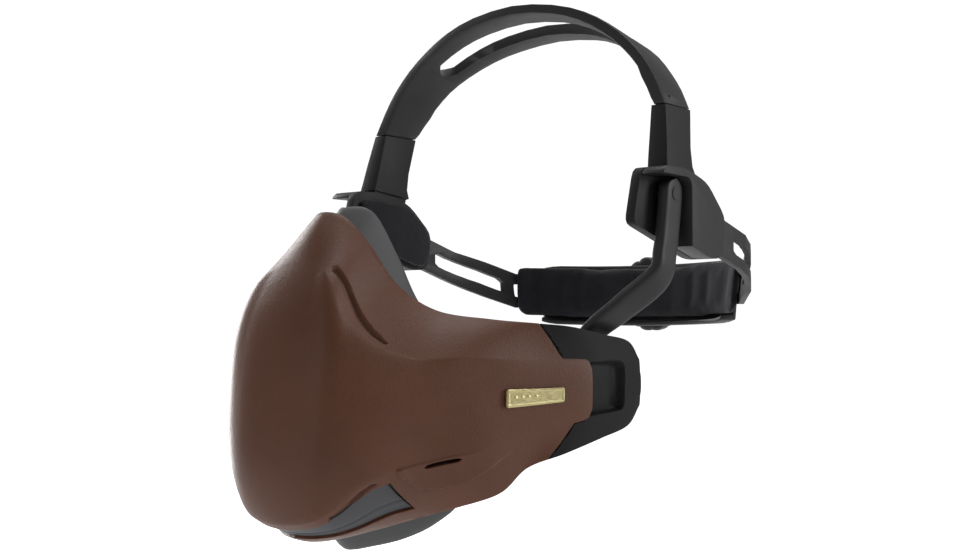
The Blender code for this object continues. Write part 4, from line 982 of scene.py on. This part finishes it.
def link_place(side):
    def place(u, v):
        share = even_share(u)
        middle = on_line(LINK_LINE, share)
        run = (on_line(LINK_LINE, share + 0.01) - on_line(LINK_LINE, share - 0.01)).normalized()
        across = Vector((0, -run.z, run.y)).normalized()
        through = run.cross(across).normalized()
        to_end = min(u, 1 - u) * LINK_LENGTH
        wide = LINK_HALF
        if to_end < LINK_HALF:
            wide = math.sqrt(max(0.0, LINK_HALF ** 2 - (LINK_HALF - to_end) ** 2))
        at = share * (len(LINK_WALLS) - 1)
        i = min(int(at), len(LINK_WALLS) - 2)
        wall = (LINK_WALLS[i] + (LINK_WALLS[i + 1] - LINK_WALLS[i]) * (at - i)) * MM / 2
        w, t = squared(2 * math.pi * v, wide, wall)
        point = middle + across * w + through * t
        return Vector((side * point.x, point.y, point.z))
    return place


for side_name, side in SIDES:
    link = drape_grid(f"link_{side_name}", 110, 40, link_place(side))
    face_outward(link)
    shade(link, 50)
    dress(link, CHARCOAL, "charcoal_plastic", "link_arms", f"link_arm_{side_name}")

# %% [markdown]
# ## Harness mouldings
# Hubs, temple frames, crown band, rear bands and cradle already have the right shape. On the real ones every
# edge is eased by the mould, so each gets a welded copy with a small round bevel.

# %% Harness mouldings
MOULDINGS = (
    ("hub_cover_left", 1.3, "harness"), ("hub_cover_right", 1.3, "harness"),
    ("temple_frame_left", 0.5, "harness"), ("temple_frame_right", 0.5, "harness"),
    ("crown_band", 0.7, "crown"),
    ("rear_band_left", 0.6, "rear"), ("rear_band_right", 0.6, "rear"),
    ("rear_cradle", 0.9, "rear"),
)
SLOT_OF = {row["node"]: row["material_slot"] for row in frame["record"]["subparts"]}
for node, edge, body in MOULDINGS:
    moulding = copy_of(node, f"{node}_moulding")
    join_triangles(moulding)
    ease_edges(moulding, edge * MM, 3, 38)
    shade(moulding, 32)
    finish = NEAR_BLACK if node.startswith("temple") else CHARCOAL
    dress(moulding, finish, SLOT_OF[node], body, node)

# %% [markdown]
# ## Knob
# The knob has a scalloped grip, so that it turns with wet or gloved fingers. It is a lathe profile whose
# radius rises and falls sixteen times round the rim.

# %% Knob
knob_low, knob_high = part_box("knob")
KNOB_X = (knob_low.x + knob_high.x) / 2
KNOB_Z = (knob_low.z + knob_high.z) / 2
KNOB_SEAT = knob_low.y
KNOB_TOP = knob_high.y - knob_low.y
KNOB_PROFILE = (  # radius and height in millimetres, from the bore over the cap and back inside
    (2.3, KNOB_TOP / MM - 0.6), (5.0, KNOB_TOP / MM - 0.6), (6.0, KNOB_TOP / MM), (12.0, KNOB_TOP / MM),
    (14.6, KNOB_TOP / MM - 0.3), (16.4, KNOB_TOP / MM - 1.3), (17.4, KNOB_TOP / MM - 3.0), (17.9, 3.4),
    (17.9, 1.2), (17.2, 0.3), (16.2, 0.0), (9.4, 0.0), (9.0, 0.4), (9.0, KNOB_TOP / MM - 4.0),
    (2.3, KNOB_TOP / MM - 4.0), (2.3, KNOB_TOP / MM - 0.6),
)
SCALLOPS = 16


def knob_place(u, v):
    at = v * (len(KNOB_PROFILE) - 1)
    i = min(int(at + 1e-6), len(KNOB_PROFILE) - 2)
    near, far = KNOB_PROFILE[i], KNOB_PROFILE[i + 1]
    radius = near[0] + (far[0] - near[0]) * (at - i)
    height = near[1] + (far[1] - near[1]) * (at - i)
    angle = 2 * math.pi * u
    grip = soft_step((radius - 14.5) / 2.5) * 0.9 * abs(math.sin(SCALLOPS * angle / 2)) ** 0.6
    radius = (radius - 0.9 * soft_step((radius - 14.5) / 2.5) + grip) * MM
    return Vector((
        KNOB_X + radius * math.cos(angle), KNOB_SEAT + height * MM, KNOB_Z + radius * math.sin(angle)))


knob = drape_grid("grip_knob", 192, 45, knob_place)
face_outward(knob)
shade(knob, 30)
dress(knob, CHARCOAL, "charcoal_plastic", "knob", "knob")

# %% [markdown]
# ## Pads
# The temple pads and the nape pad are thin foam in tight black knit. Each starts from its solid, drawn in a
# little, is remeshed into even cells and blown up as cloth under pressure. No point may move further than
# a cap, so the pads crown softly and still sit in their places.


# %% Blow up a pad
CLOTH_FRAMES = 20
PAD_CELL = 1.3 * MM
PAD_PRESSURE = 4.0
PAD_SHRINK = 0.35 * MM
LIP_STRETCH = 1.0 * MM


def shrink(piece, amount):
    """Draws every point in along its normal."""
    apply_modifier(piece, "DISPLACE", strength=-amount, mid_level=0.0)


def stretch_down(piece, amount):
    """Draws the lower half down, towards the lip that it rests on."""
    heights = [vertex.co.z for vertex in piece.data.vertices]
    middle, lowest = (min(heights) + max(heights)) / 2, min(heights)
    for vertex in piece.data.vertices:
        share = max(0.0, (middle - vertex.co.z) / (middle - lowest))
        vertex.co.z -= amount * share


def inflate(piece, cell, pressure, cap):
    """Remeshes the piece evenly and blows it up as cloth, moving no point further than the cap."""
    apply_modifier(piece, "REMESH", mode="VOXEL", voxel_size=cell, adaptivity=0.0)
    apply_modifier(piece, "SMOOTH", factor=0.5, iterations=10)
    start = [vertex.co.copy() for vertex in piece.data.vertices]
    cloth = piece.modifiers.new("Cloth", "CLOTH")
    cloth.settings.use_pressure = True
    cloth.settings.uniform_pressure_force = pressure
    cloth.settings.mass = 0.2
    cloth.settings.tension_stiffness = 12
    cloth.settings.compression_stiffness = 12
    cloth.settings.effector_weights.gravity = 0
    cloth.collision_settings.use_collision = False
    cloth.point_cache.frame_start = 1
    cloth.point_cache.frame_end = CLOTH_FRAMES
    for step in range(1, CLOTH_FRAMES + 1):
        bpy.context.scene.frame_set(step)
    select_only(piece)
    bpy.ops.object.modifier_apply(modifier=cloth.name)
    bpy.context.scene.frame_set(1)
    for vertex, place in zip(piece.data.vertices, start):
        move = vertex.co - place
        if move.length > cap:
            vertex.co = place + move.normalized() * cap
    apply_modifier(piece, "SMOOTH", factor=0.5, iterations=6)
    apply_modifier(piece, "SUBSURF", levels=1, render_levels=1)


# %% The three pads
PADS = (
    ("temple_pad_left", "harness", 1.0), ("temple_pad_right", "harness", 1.0), ("nape_pad", "rear", 1.2))
for node, body, cap in PADS:
    pad = copy_of(node, f"{node}_cushion")
    face_outward(pad)
    shrink(pad, PAD_SHRINK)
    if node == "nape_pad":
        stretch_down(pad, LIP_STRETCH)
    inflate(pad, PAD_CELL, PAD_PRESSURE, cap * MM)
    face_outward(pad)
    shade(pad, 60)
    dress(pad, KNIT, SLOT_OF[node], body, node)

# %% Finishes for the nodes that stay
STAYING = {
    "chassis": CHARCOAL, "filter_pad_left": FELT, "filter_pad_right": FELT,
    "filter_holder_left": CHARCOAL, "filter_holder_right": CHARCOAL,
    "inhale_valve_left": RUBBER, "inhale_valve_right": RUBBER,
    "exhale_seat": CHARCOAL, "exhale_valve": RUBBER,
    "arm_screw_left_upper": STEEL, "arm_screw_left_lower": STEEL,
    "arm_screw_right_upper": STEEL, "arm_screw_right_lower": STEEL,
    "pivot_pin_left": CHARCOAL, "pivot_pin_right": CHARCOAL,
    "link_pin_left": STEEL, "link_pin_right": STEEL,
    "knob_pinion": NEAR_BLACK, "knob_screw": STEEL,
}
for node, finish in STAYING.items():
    piece = frame["nodes"][node]
    piece.data.materials.clear()
    piece.data.materials.append(finish)
    shade(piece, 35)
print("finished", len(STAYING), "nodes in place")
